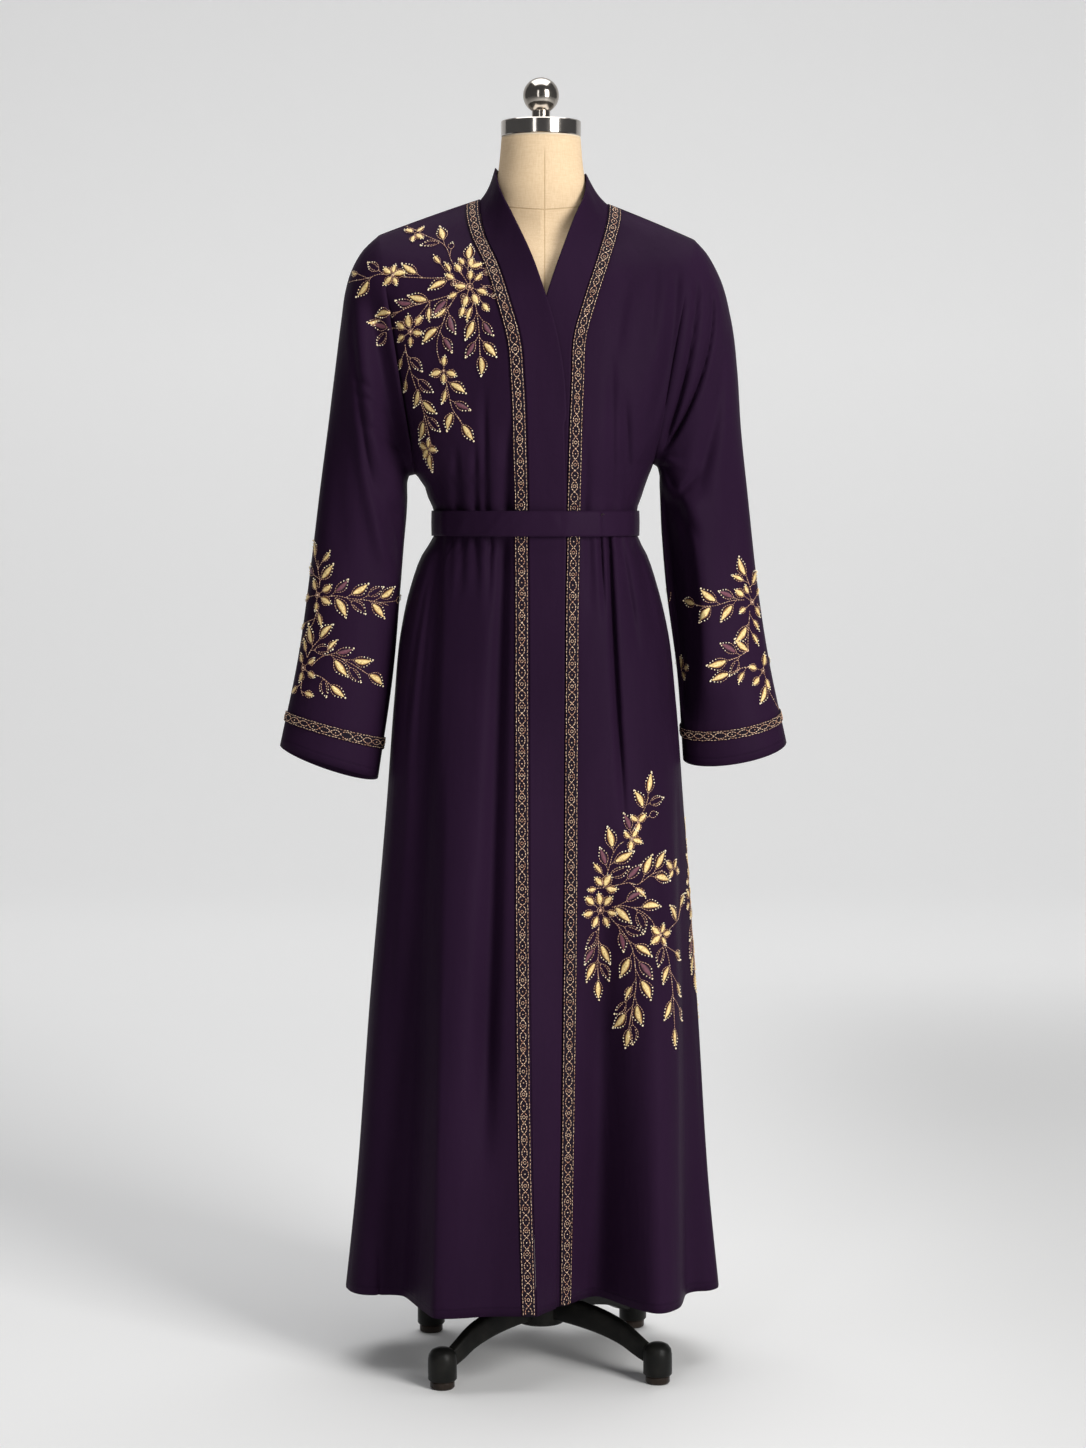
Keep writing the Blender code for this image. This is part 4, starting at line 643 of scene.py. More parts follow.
def foldDepth(face, x, z):
    out = np.zeros(np.broadcast(x, z).shape)
    for f in folds:
        if f.face != face:
            continue
        t = (f.z1 - z) / (f.z1 - f.z3)
        tIn = np.clip(t, 0, 1)
        line = f.x1 * (1 - tIn) * (1 - 2 * tIn) + f.x2 * 4 * tIn * (1 - tIn)
        line = line + f.x3 * tIn * (2 * tIn - 1)
        lean = math.cos(math.atan2(f.x3 - f.x1, f.z1 - f.z3))
        drawn = np.where(x < line, f.right, f.left) * (1 + (f.spread - 1) * tIn)
        width = np.hypot(drawn, garment["foldBlur"])
        depth = (f.top + (f.low - f.top) * tIn) * drawn / width
        fade = smoothStep(0, f.fadeTop, t)
        if f.fadeLow:
            fade = fade * smoothStep(0, f.fadeLow, 1 - t)
        out += depth * fade * np.exp(-(((x - line) * lean / width) ** 2))
    return out


def folded(points, face, seamAt):
    x, y, z = points[..., 0], points[..., 1], points[..., 2]
    openShare = smoothStep(0, garment["openY"], abs(y - seamAt))
    moved = points.copy()
    moved[..., 1] = y + face * foldDepth(face, x, z) * openShare
    return moved


def seamY(z):
    return 0.010 * smoothStep(0.6, 1.1, z)


def sleevePoints(side, face, along, turn):
    # along runs from armhole to cuff, turn from overarm (0) to underarm (1)
    along, turn = np.broadcast_arrays(np.asarray(along, float), np.asarray(turn, float))
    read = {c: through(sleeveSections[side], "along", c, along) for c in Section._fields[1:]}
    over = np.stack([read["overX"], read["y"], read["overZ"]], -1)
    under = np.stack([read["underX"], read["y"], read["underZ"]], -1)
    angle = math.pi * turn
    across = (over + under) / 2 + (over - under) / 2 * np.cos(angle)[..., None]
    depth = np.where(face == front, read["front"], read["back"]) * np.sin(angle)
    tip = np.where(face == front, read["tipFront"], read["tipBack"])
    out = np.stack([np.zeros_like(depth), face * depth, face * tip * depth], -1)
    points = folded(across + out, face, read["y"])
    points[..., 1] -= face * garment["sideLap"]
    return points


def lapAt(side, x, z, innerX):
    if side == left:
        return np.zeros(np.broadcast(x, z).shape)
    return garment["lap"] * smoothStep(1.40, 1.34, z) * smoothStep(0.075, 0.0, abs(x - innerX))


def rowAcross(side, face, share=None, z=None):
    # one row of a panel, from its inner edge to the armhole or side seam
    if share is not None:
        outer = sleevePoints(side, face, 0.0, share)
        top = frontEdge[side][0].z if face == front else bodySides[0].z
        height = top * (1 - share) + sleeveSections[side][0].underZ * share
        roundness = float(smoothStep(-0.15, 1.0, share))
    else:
        x = float(through(bodySides, "z", "right" if side == right else "left", z))
        outer = np.array([x, float(seamY(z)) - face * garment["sideLap"], z])
        height, roundness = z, 1.0
    if face == front:
        inner = np.array([float(through(frontEdge[side], "z", c, height)) for c in "xy"] + [height])
    else:
        inner = np.array([0.0, float(through(bodySides, "z", "back", height)), height])
    angle = np.linspace(0, math.pi / 2, fine["dense"])
    even = angle / (math.pi / 2)
    power = 2 / garment["round"]
    wide = (1 - roundness) * even + roundness * np.sin(angle) ** power
    deep = (1 - roundness) * even + roundness * (1 - np.cos(angle) ** power)
    points = inner + (outer - inner) * np.stack([wide, deep, even], -1)
    if share is not None:
        if face == front:
            rise = garment["shoulderRise"] * 4 * wide * (1 - wide)
            points[:, 2] += rise * (1 - smoothStep(0, 0.3, share))
        else:
            tip = sleevePoints(side, back, 0.0, 0.0)
            start = np.array([0.0, bodySides[0].back, bodySides[0].z])
            straight = start + (tip - start) * np.linspace(0, 1, fine["dense"])[:, None]
            points += (backTop(side) - straight) * (1 - smoothStep(0, 0.45, share))
    middle = seamY(points[:, 2]) if share is None else sleeveSections[side][0].y
    bent = folded(points, face, middle)
    bent[-1] = outer
    if face == front:
        bent[:, 1] -= lapAt(side, points[:, 0], points[:, 2], inner[0])
    return bent


def backTop(side, turns=None):
    # the back's top edge: round the back neck, then along the shoulder
    u = np.linspace(0, 1, fine["dense"]) if turns is None else np.array(turns)
    along = np.clip(u / garment["neckShare"], 0, 1)
    rows = backNeck[side]
    neck = np.stack([through(rows, "along", c, along) for c in ("seamX", "seamY", "seamZ")], -1)
    point = np.array([rows[-1].seamX, rows[-1].seamY, rows[-1].seamZ])
    tip = sleevePoints(side, back, 0.0, 0.0)
    t = np.clip((u - garment["neckShare"]) / (1 - garment["neckShare"]), 0, 1)
    shoulder = point + (tip - point) * t[:, None]
    shoulder[:, 2] += garment["shoulderRise"] * 4 * t * (1 - t)
    shoulder[:, 1] += seam
    return np.where((u <= garment["neckShare"])[:, None], neck, shoulder)


def lengthsOf(points):
    return np.concatenate([[0], np.cumsum(np.linalg.norm(np.diff(points, axis=0), axis=1))])


def atLengths(points, lengths):
    length = lengthsOf(points)
    return np.stack([np.interp(lengths, length, points[:, i]) for i in range(3)], -1)


def neckTurns():
    neck = np.linspace(0, garment["neckShare"], fine["neck"] + 1)
    shoulder = np.linspace(garment["neckShare"], 1, fine["back"] + 1 - fine["neck"])
    return np.concatenate([neck, shoulder[1:]])


def bodyRows(side):
    top = sleeveSections[side][0].underZ - 0.004
    return np.linspace(top, hem, round((top - hem) / fine["rowStep"]))


def bodyGrid(side, face):
    shares = np.linspace(0, 1, fine["armhole"] + 1)
    rows = [(rowAcross(side, face, share=t), t) for t in shares]
    rows += [(rowAcross(side, face, z=z), 1.0) for z in bodyRows(side)]
    if face == front:
        shares = np.linspace(0, 1, fine["front"] + 1)
        return np.array([atLengths(p, shares * lengthsOf(p)[-1]) for p, _ in rows])
    grid = []
    for points, share in rows:
        length = lengthsOf(points)
        byNeck = np.interp(neckTurns(), np.linspace(0, 1, fine["dense"]), length)
        evenly = np.linspace(0, length[-1], fine["back"] + 1)
        blend = smoothStep(0.05, 0.7, share)
        grid.append(atLengths(points, byNeck * (1 - blend) + evenly * blend))
    grid = np.array(grid)
    grid[0] = backTop(side, neckTurns())
    return grid


def sleeveGrid(side, face):
    along = np.linspace(0, 1, fine["rings"] + 1)
    return sleevePoints(side, face, along[:, None], np.linspace(0, 1, fine["armhole"] + 1)[None, :])


def unit(vectors):
    return vectors / np.linalg.norm(vectors, axis=-1, keepdims=True)


def clothMeasure(points):
    # a place on the cloth in metres: across each row, and up from the last row
    across = np.array([lengthsOf(row) for row in points])
    down = np.array([lengthsOf(points[:, k]) for k in range(points.shape[1])]).T
    return np.stack([across, down[-1:] - down], -1)


def addGrid(bm, points, flip, measure=None):
    # a Blender grid bent to these rows of points
    rows, cols = points.shape[:2]
    measure = clothMeasure(points) if measure is None else measure
    uvLayer = bm.loops.layers.uv.get("cloth") or bm.loops.layers.uv.new("cloth")
    made = bmesh.ops.create_grid(bm, x_segments=cols - 1, y_segments=rows - 1, size=0.5)
    spot = {}
    for vertex in made["verts"]:
        col = round((vertex.co.x + 0.5) * (cols - 1))
        row = round((0.5 - vertex.co.y) * (rows - 1))
        vertex.co = points[row, col]
        spot[vertex] = measure[row, col]
    faces = list({f for v in made["verts"] for f in v.link_faces})
    for f in faces:
        for loop in f.loops:
            loop[uvLayer].uv = spot[loop.vert]
    if flip:
        bmesh.ops.reverse_faces(bm, faces=faces)
    return faces


def putPiece(name, bm, materials):
    mesh = bpy.data.meshes.new(name)
    bm.to_mesh(mesh)
    bm.free()
    mesh.transform(Matrix.Translation(centring))
    mesh.shade_smooth()
    piece = bpy.data.objects.new(name, mesh)
    scene.collection.objects.link(piece)
    for material in materials:
        mesh.materials.append(finishes[material])
    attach(piece, "root")
    return piece


def giveWall(piece, thickness, offset):
    solid = piece.modifiers.new("wall", "SOLIDIFY")
    solid.thickness = thickness
    solid.offset = offset
    solid.use_even_offset = thickness != wall  # an even wall spikes where sleeve and side meet
    solid.thickness_clamp = 2.0


def clothPiece(name, grids, material, thickness, offset=1.0):
    # offset: 1 puts the wall outside the grid, 0 on both sides of it
    bm = bmesh.new()
    for grid in grids:
        addGrid(bm, *grid)
    bmesh.ops.remove_doubles(bm, verts=bm.verts, dist=0.00002)
    piece = putPiece(name, bm, [material])
    giveWall(piece, thickness, offset)
    area = sum(p.area for p in piece.data.polygons)
    print(f"  {name}: {area:.3f} square metres of cloth")
    return piece


# Panels
fronts = {side: bodyGrid(side, front) for side in (right, left)}
backs = {side: bodyGrid(side, back) for side in (right, left)}
sleeves = {(side, face): sleeveGrid(side, face) for side in (right, left) for face in (front, back)}


def makePanels():
    for side, name in ((right, "right"), (left, "left")):
        grids = [(fronts[side], side == right), (sleeves[side, front], side == left)]
        panel = clothPiece("abaya_front_" + name, grids, "panel", wall)
        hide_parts("front_" + name)
        half = backs[side].copy()
        half[:, 0, 0] = side * seam / 2
        grids = [(half, side == left), (sleeves[side, back], side == right)]
        panel = clothPiece("abaya_back_" + name, grids, "panel", wall)
        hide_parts("back_" + name)


makePanels()
tell("panels made")


# Bands
def outward(edge, beside):
    normal = unit(np.cross(np.gradient(edge, axis=0), beside - edge))
    guide = np.stack([edge[:, 0], edge[:, 1], np.full(len(edge), 0.12)], -1)
    return normal * np.sign(np.sum(normal * guide, axis=1))[:, None]


def rowPoint(side, z):
    x = float(through(frontEdge[side], "z", "x", z))
    y = float(through(frontEdge[side], "z", "y", z))
    point = folded(np.array([[x, y, z]]), front, 0.0)[0]
    point[1] -= float(lapAt(side, x, z, x))
    return point


def bandEdges(side):
    edge = [backs[side][0, k] for k in range(fine["neck"])]
    beside = [backs[side][1, k] for k in range(fine["neck"])]
    edge.append((backs[side][0, fine["neck"]] + fronts[side][0, 0]) / 2)
    beside.append((backs[side][0, fine["neck"] + 1] + fronts[side][0, 1]) / 2)
    edge = np.array(edge + list(fronts[side][1:, 0]))
    beside = np.array(beside + list(fronts[side][1:, 1]))
    normal = outward(edge, beside)
    away = -unit(beside - edge)
    sewnEdge = edge + normal * wall / 2 + away * seam
    free = []
    for k, (x, y, z) in enumerate(edge):
        if k <= fine["neck"]:
            row = [through(backNeck[side], "along", c, k / fine["neck"]) for c in Stand._fields[4:]]
        elif z > freeEdge[side][-1].seamZ:
            row = [through(freeEdge[side], "seamZ", c, z) for c in "xyz"]
        else:
            other = rowPoint(-side, z) + [0, -wall / 2 + garment["lap"] * side, 0]
            across = (other - sewnEdge[k]) * [1, 1, 0]
            span = np.linalg.norm(across)
            width = min(garment["bandWidth"], span if side == right else span - garment["underShort"])
            row = sewnEdge[k] + across / span * width
        free.append([float(value) for value in row])
    free = np.array(free)
    turn = unit(np.cross(np.gradient(edge, axis=0), free - sewnEdge))
    bend = np.linalg.norm(np.cross(turn, normal), axis=1)
    sewnEdge += away * (bend * garment["bandWall"] * 0.6 - seam * 2)[:, None]
    return smoothed(sewnEdge, 2), smoothed(free, 2)


def smoothed(line, times):
    for _ in range(times):
        line = line.copy()
        line[1:-1] = (line[:-2] + line[1:-1] * 2 + line[2:]) / 4
    return line


def makeBands():
    for side, name in ((right, "band_right"), (left, "band_left")):
        seamLine, free = bandEdges(side)
        share = np.linspace(0, 1, 21)
        grid = seamLine[:, None] * (1 - share)[None, :, None] + free[:, None] * share[None, :, None]
        # round the neck the band hollows a little towards it
        hollow = smoothStep(1.40, 1.47, grid[:, :1, 2]) * 4 * share * (1 - share) * (1 - share * 0.5)
        grid[..., :2] *= 1 - 0.060 * hollow[..., None]
        grid[0, :, 0] = side * seam / 2
        grids = [(grid, side == left)]
        piece = clothPiece("abaya_" + name, grids, "band", garment["bandWall"], 0.0)
        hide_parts(name)


makeBands()
tell("bands made")

# A strip of surface, read by distance along it and by share across it (-1 to 1)
class Ribbon:
    def __init__(self, grid, outside, above):
        normal = unit(np.cross(np.gradient(grid, axis=0), np.gradient(grid, axis=1)))
        self.normal = normal * np.sign(np.sum(normal * outside))
        self.grid = grid + self.normal * above
        self.length = lengthsOf(self.grid[:, grid.shape[1] // 2])

    def at(self, along, across, lift):
        rows, cols = self.grid.shape[:2]
        r = np.interp(along, self.length, np.arange(rows))
        c = np.clip((np.asarray(across, float) + 1) / 2 * (cols - 1), 0, cols - 1)
        i, j = np.minimum(r.astype(int), rows - 2), np.minimum(c.astype(int), cols - 2)
        u, v = (r - i)[:, None], (c - j)[:, None]
        read = []
        for field in (self.grid, self.normal):
            low = field[i, j] * (1 - v) + field[i, j + 1] * v
            high = field[i + 1, j] * (1 - v) + field[i + 1, j + 1] * v
            read.append(low * (1 - u) + high * u)
        return read[0] + read[1] * lift, unit(read[1])


# Small things are one template each, copied with arrays and joined
class Template:
    def __init__(self, make, **sizes):
        bm = bmesh.new()
        make(bm, **sizes)
        bmesh.ops.triangulate(bm, faces=bm.faces)
        bm.verts.index_update()
        self.points = np.array([v.co[:] for v in bm.verts])
        self.corners = np.array([[v.index for v in f.verts] for f in bm.faces])
        bm.free()


stitchForm = Template(bmesh.ops.create_uvsphere, u_segments=5, v_segments=3, radius=1.0)
stitchForm.flat, stitchForm.longer = 0.75, 1.08  # lower than wide, and its ends sink into the cloth
beadForm = Template(bmesh.ops.create_icosphere, subdivisions=1, radius=1.0)
leafForm = Template(bmesh.ops.create_grid, x_segments=6, y_segments=11, size=0.5)


class Needle:
    # gathers copies of the small forms, and joins them to one piece
    def __init__(self, *materials):
        self.materials = materials
        self.points, self.corners, self.kinds, self.spots = [], [], [], []
        self.count = 0

    def add(self, points, corners, material, spots=None):
        # points: copies x places x 3
        copies, size = points.shape[:2]
        start = self.count + np.arange(copies)[:, None, None] * size
        self.corners.append((corners[None] + start).reshape(-1, 3))
        self.points.append(points.reshape(-1, 3))
        self.spots.append(np.zeros((copies * size, 4)) if spots is None else spots.reshape(-1, 4))
        self.kinds.append(np.full(copies * len(corners), self.materials.index(material)))
        self.count += copies * size

    def stitches(self, starts, ends, normals, material, radius):
        along = ends - starts
        length = np.linalg.norm(along, axis=1, keepdims=True)
        ahead = along / length
        side = unit(np.cross(normals, ahead))
        up = np.cross(ahead, side)
        half = ahead * length / 2 * stitchForm.longer
        axes = np.stack([side * radius, up * radius * stitchForm.flat, half], 1)
        points = np.einsum("pk,nkj->npj", stitchForm.points, axes) + ((starts + ends) / 2)[:, None]
        self.add(points, stitchForm.corners, material)

    def beads(self, places, material, radius):
        points = beadForm.points[None] * radius + places[:, None]
        self.add(points, beadForm.corners, material)

    def piece(self, name, slot, centred):
        mesh = bpy.data.meshes.new(name)
        points, corners = np.concatenate(self.points), np.concatenate(self.corners)
        if not centred:
            points = points + centring
        mesh.from_pydata(points, [], corners)
        mesh.polygons.foreach_set("material_index", np.concatenate(self.kinds).astype(np.int32))
        spots = np.concatenate(self.spots)[corners.reshape(-1)]
        for layer, part in (("cloth", spots[:, :2]), ("share", spots[:, 2:])):
            uv = mesh.uv_layers.new(name=layer)
            uv.uv.foreach_set("vector", np.ascontiguousarray(part).reshape(-1))
        mesh.shade_smooth()
        piece = bpy.data.objects.new(name, mesh)
        scene.collection.objects.link(piece)
        for material in self.materials:
            mesh.materials.append(finishes[material])
        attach(piece, "root")
        print(f"  {name}: {len(corners)} triangles")


# Trims: a dark tape, two strands that cross each other along it with a bead in every other eye and,
# on the fronts, a ring in each eye between, and a line of close stitches along each edge
braids = {
    "front": {
        "pitch": 0.0140, "swing": 0.50, "edge": 0.85, "wave": 0.035, "dash": 0.0046,
        "ring": 0.0019, "thick": 0.00052,
    },
    "cuff": {
        "pitch": 0.0150, "swing": 0.56, "edge": 0.87, "wave": 0.05, "dash": 0.0044,
        "ring": 0.0, "thick": 0.00050,
    },
}  # fmt: skip
braidStitch = {"step": 0.0031, "share": 0.82, "edgeShare": 0.76, "bead": 0.00085}
above = wall + seam + garment["trimWall"]


def sewBraid(needle, ribbon, braid):
    whole = ribbon.length[-1]
    pitch = whole / round(whole / braid["pitch"])
    chance = np.random.default_rng(7)
    count = round(whole / pitch)
    sway = chance.uniform(0.72, 1.18, count + 2)  # how far each crossing's loop reaches
    shift = chance.normal(0, pitch * 0.07, count + 2)

    def strand(side, s):
        reach = np.interp(s / pitch, np.arange(count + 2), sway)
        slip = np.interp(s / pitch, np.arange(count + 2), shift)
        wave = np.clip(np.sin(math.pi * (s + slip) / pitch) * 1.2, -1, 1)
        return side * braid["swing"] * reach * wave

    def edging(side, s):
        return side * (braid["edge"] + braid["wave"] * np.sin(2 * math.pi * s / pitch + side))

    def line(step, share, path, side, radius):
        start = np.arange(0, whole - step, step)
        start = np.clip(start + chance.normal(0, step * 0.05, len(start)), 0, whole - step)
        ends = [ribbon.at(s, path(side, s), 0.0002) for s in (start, start + step * share)]
        needle.stitches(ends[0][0], ends[1][0], ends[0][1], "trimThread", radius)

    for side in (-1, 1):
        line(braidStitch["step"], braidStitch["share"], strand, side, braid["thick"])
        line(braid["dash"], braidStitch["edgeShare"], edging, side, braid["thick"] * 0.80)
    eyes = (np.arange(count) + 0.5) * pitch
    needle.beads(ribbon.at(eyes[::2], eyes[::2] * 0, 0.0003)[0], "trimThread", braidStitch["bead"])
    if braid["ring"]:
        turn = np.linspace(0, 2 * math.pi, 9)
        across = braid["ring"] * np.sin(turn) / (garment["trimWidth"] / 2)
        for middle in eyes[1::2]:
            spots, normals = ribbon.at(middle + braid["ring"] * np.cos(turn), across, 0.0002)
            needle.stitches(spots[:-1], spots[1:], normals[:-1], "trimThread", braid["thick"] * 0.7)


def rowCurves(side):
    shares = np.linspace(0, 1, fine["armhole"] + 1)
    rows = [rowAcross(side, front, share=t) for t in shares]
    return rows + [rowAcross(side, front, z=z) for z in bodyRows(side)]


def onCloth(ground, start, level, distance, lift=0.0012):
    # the place on the back's cloth at a distance from its neck edge
    reach = distance
    for _ in range(6):
        high = start + level * reach + (0, 0, 0.1)
        hit, up = ground.ray_cast(Vector(high), Vector((0, 0, -1)))[:2]
        found = np.array(hit) if hit else start + level * reach
        reach *= distance / np.linalg.norm(found - start)
    return found + (np.array(up) if hit else np.array([0, 0, 1])) * lift


def tapePiece(name, grid, flip, away, braid):
    outside = 1 + 2 * (wall + seam) / garment["trimWall"]  # clear of the panel's wall
    piece = clothPiece("abaya_" + name, [(grid, flip)], "tape", garment["trimWall"], outside)
    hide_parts(name)
    needle = Needle("trimThread")
    sewBraid(needle, Ribbon(grid, away, above), braid)
    needle.piece(name + "_braid", "trim", False)


def makeTrims():
    distances = np.linspace(0.0012, garment["trimWidth"], 9)
    behind = 14  # rows round the back of the neck, eased into the front's
    for side, name in ((right, "trim_right"), (left, "trim_left")):
        bm = bmesh.new()
        addGrid(bm, backs[side], side == left)
        bm.normal_update()
        ground = BVHTree.FromBMesh(bm)
        bm.free()
        rows = []
        for along in np.linspace(0.02, 0.94, behind):
            turn = along * garment["neckShare"]
            start = backTop(side, [turn])[0]
            ahead = backTop(side, [turn + 0.002])[0] - start
            level = -unit(np.array([side * ahead[1], -side * ahead[0], 0.0]))
            rows.append([onCloth(ground, start, level, d) for d in distances])
        rows += [atLengths(row, distances) for row in rowCurves(side)]
        grid = np.array(rows)
        for _ in range(2):
            last = behind + 4
            grid[1:last] = (grid[: last - 1] + grid[1:last] * 2 + grid[2 : last + 1]) / 4
        grid[0, :, 0] = side * seam / 2
        grid = evenRows(grid, 0.0045)
        outside = np.array([0, -1, 0.2])
        tapePiece(name, grid, side == right, outside, braids["front"])


def evenRows(grid, step):
    # the same strip with rows at even distances along it
    length = lengthsOf(grid[:, grid.shape[1] // 2])
    want = np.linspace(0, length[-1], round(length[-1] / step))
    columns = []
    for k in range(grid.shape[1]):
        columns.append(np.stack([np.interp(want, length, grid[:, k, i]) for i in range(3)], -1))
    return np.stack(columns, 1)


def makeCuffTrims():
    low, high = garment["cuffTrim"]
    for side, name in ((right, "cuff_trim_right"), (left, "cuff_trim_left")):
        rings = []
        for share in np.linspace(0.06, 0.94, 7):
            along = low + (high - low) * share
            halves = [sleevePoints(side, face, along, np.linspace(0, 1, 61)) for face in (front, back)]
            over = (halves[0][:1] + halves[1][:1]) / 2
            under = (halves[0][-1:] + halves[1][-1:]) / 2
            rings.append(np.concatenate([over, halves[0][1:-1], under, halves[1][-2:0:-1], over]))
        grid = evenRows(np.array(rings).transpose(1, 0, 2), 0.003)
        grid[-1] = grid[0]
        outside = grid - grid.mean((0, 1))
        tapePiece(name, grid, side == right, outside, braids["cuff"])


makeTrims()
makeCuffTrims()
tell("trims made")

# Belt: wound once round the waist, its outer end over its inner one
belt = {
    "low": 1.0552, "top": 1.0872, "centre": (-0.007, -0.006), "end": (0.0830, -0.105), "lap": 0.16,
    "rings": 220, "rows": 11,
    # soft slanting creases: radians round from the end, how far they lean, width and depth
    "creases": [
        (-1.18, 0.27, 0.045, 0.0010), (-1.05, 0.27, 0.030, 0.0007), (-0.87, 0.21, 0.05, 0.0006),
        (-0.50, -0.18, 0.05, 0.0006), (-1.60, 0.21, 0.06, 0.0006), (1.35, 0.15, 0.06, 0.0006),
        (2.15, -0.15, 0.07, 0.0007), (3.05, 0.18, 0.06, 0.0006),
    ],
    # the small hook at the end: its wire's and its bend's radius, degrees of bend, and its place
    "hook": (0.00035, 0.0016, 250, (0.0012, -0.0016, -0.0052)),
}  # fmt: skip


def makeBelt():
    centre = np.array(belt["centre"])
    # its line is the outline of what it goes round, with a thread's gap
    cloud = []
    for z in np.linspace(belt["low"] - 0.001, belt["top"] + 0.001, 5):
        for side in (right, left):
            for face in (front, back):
                row = rowAcross(side, face, z=z)[:, :2] - centre
                thick = np.full(len(row), wall)
                if face == front:
                    near = abs(row[:, 0] - row[0, 0]) < garment["trimWidth"] + 0.003
                    thick = thick + near * (garment["trimWall"] + seam)
                cloud.append((row, thick))
        ends = rowPoint(right, z), rowPoint(left, z) - [0, garment["lap"], 0]
        across = np.linspace(*ends, 9)[:, :2]
        cloud.append((across - centre, np.full(9, garment["bandWall"])))
    spots, thick = (np.concatenate(parts) for parts in zip(*cloud))
    ahead = np.arange(0, 360, 3) * math.pi / 180
    facing = np.stack([np.cos(ahead), np.sin(ahead)], -1)
    support = (spots @ facing.T + thick[:, None]).max(0) + seam
    shape = facing * support[:, None]
    rate = (np.roll(support, -1) - np.roll(support, 1)) / (ahead[1] - ahead[0]) / 2
    shape += np.stack([-np.sin(ahead), np.cos(ahead)], -1) * rate[:, None]
    angles = np.arctan2(shape[:, 1], shape[:, 0]) % (2 * math.pi)
    order = np.argsort(angles)
    angles, reach = angles[order], np.hypot(shape[:, 0], shape[:, 1])[order]
    end = math.atan2(belt["end"][1] - centre[1], belt["end"][0] - centre[0])
    start = end - 2 * math.pi * (1 + belt["lap"])
    share = np.linspace(0, 1, belt["rings"])
    angle = start + (end - start) * share
    radius = np.interp(angle % (2 * math.pi), angles, reach, period=2 * math.pi)
    radius = radius + (garment["beltWall"] + seam * 3) * smoothStep(0.62, 0.80, share) + seam * 3
    heights = np.linspace(belt["low"], belt["top"], belt["rows"])
    lean = (heights - heights.mean()) / (heights[-1] - heights[0])
    grid = []
    for z, slant in zip(heights, lean):
        swell = 0.0
        for turn, tip, width, depth in belt["creases"]:
            off = (angle - end - turn - tip * slant + math.pi) % (2 * math.pi) - math.pi
            swell = swell + depth * np.exp(-((off / width) ** 2))
        out = radius + swell + 0.0004 * (1 - (2 * slant) ** 2)
        x, y = centre[0] + out * np.cos(angle), centre[1] + out * np.sin(angle)
        grid.append(np.stack([x, y, np.full(len(angle), z)], -1))
    grid = np.array(grid).transpose(1, 0, 2)
    measure = np.zeros(grid.shape[:2] + (2,))
    measure[..., 0] = lengthsOf(grid[:, 0])[:, None]
    measure[..., 1] = heights - heights[0]
    grids = [(grid, False, measure)]
    piece = clothPiece("abaya_belt", grids, "belt", garment["beltWall"], 0.0)
    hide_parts("belt")
    makeHook(Vector(grid[-1, -1]))


def makeHook(tip):
    wire, bend, degrees, place = belt["hook"]
    quarter = Matrix.Rotation(math.pi / 2, 3, "X")
    hook = bmesh.new()
    bmesh.ops.create_circle(hook, segments=8, radius=wire)
    bmesh.ops.rotate(hook, verts=hook.verts, matrix=quarter)
    bmesh.ops.translate(hook, verts=hook.verts, vec=(bend, 0, 0))
    around = {"axis": (0, 0, 1), "cent": (0, 0, 0), "angle": math.radians(degrees), "steps": 16}
    bmesh.ops.spin(hook, geom=hook.verts[:] + hook.edges[:], **around)
    bmesh.ops.holes_fill(hook, edges=hook.edges, sides=0)
    bmesh.ops.recalc_face_normals(hook, faces=hook.faces)
    bmesh.ops.rotate(hook, verts=hook.verts, matrix=quarter)
    bmesh.ops.translate(hook, verts=hook.verts, vec=tip + Vector(place))
    putPiece("belt_hook", hook, ["glide"])


makeBelt()
tell("belt made")

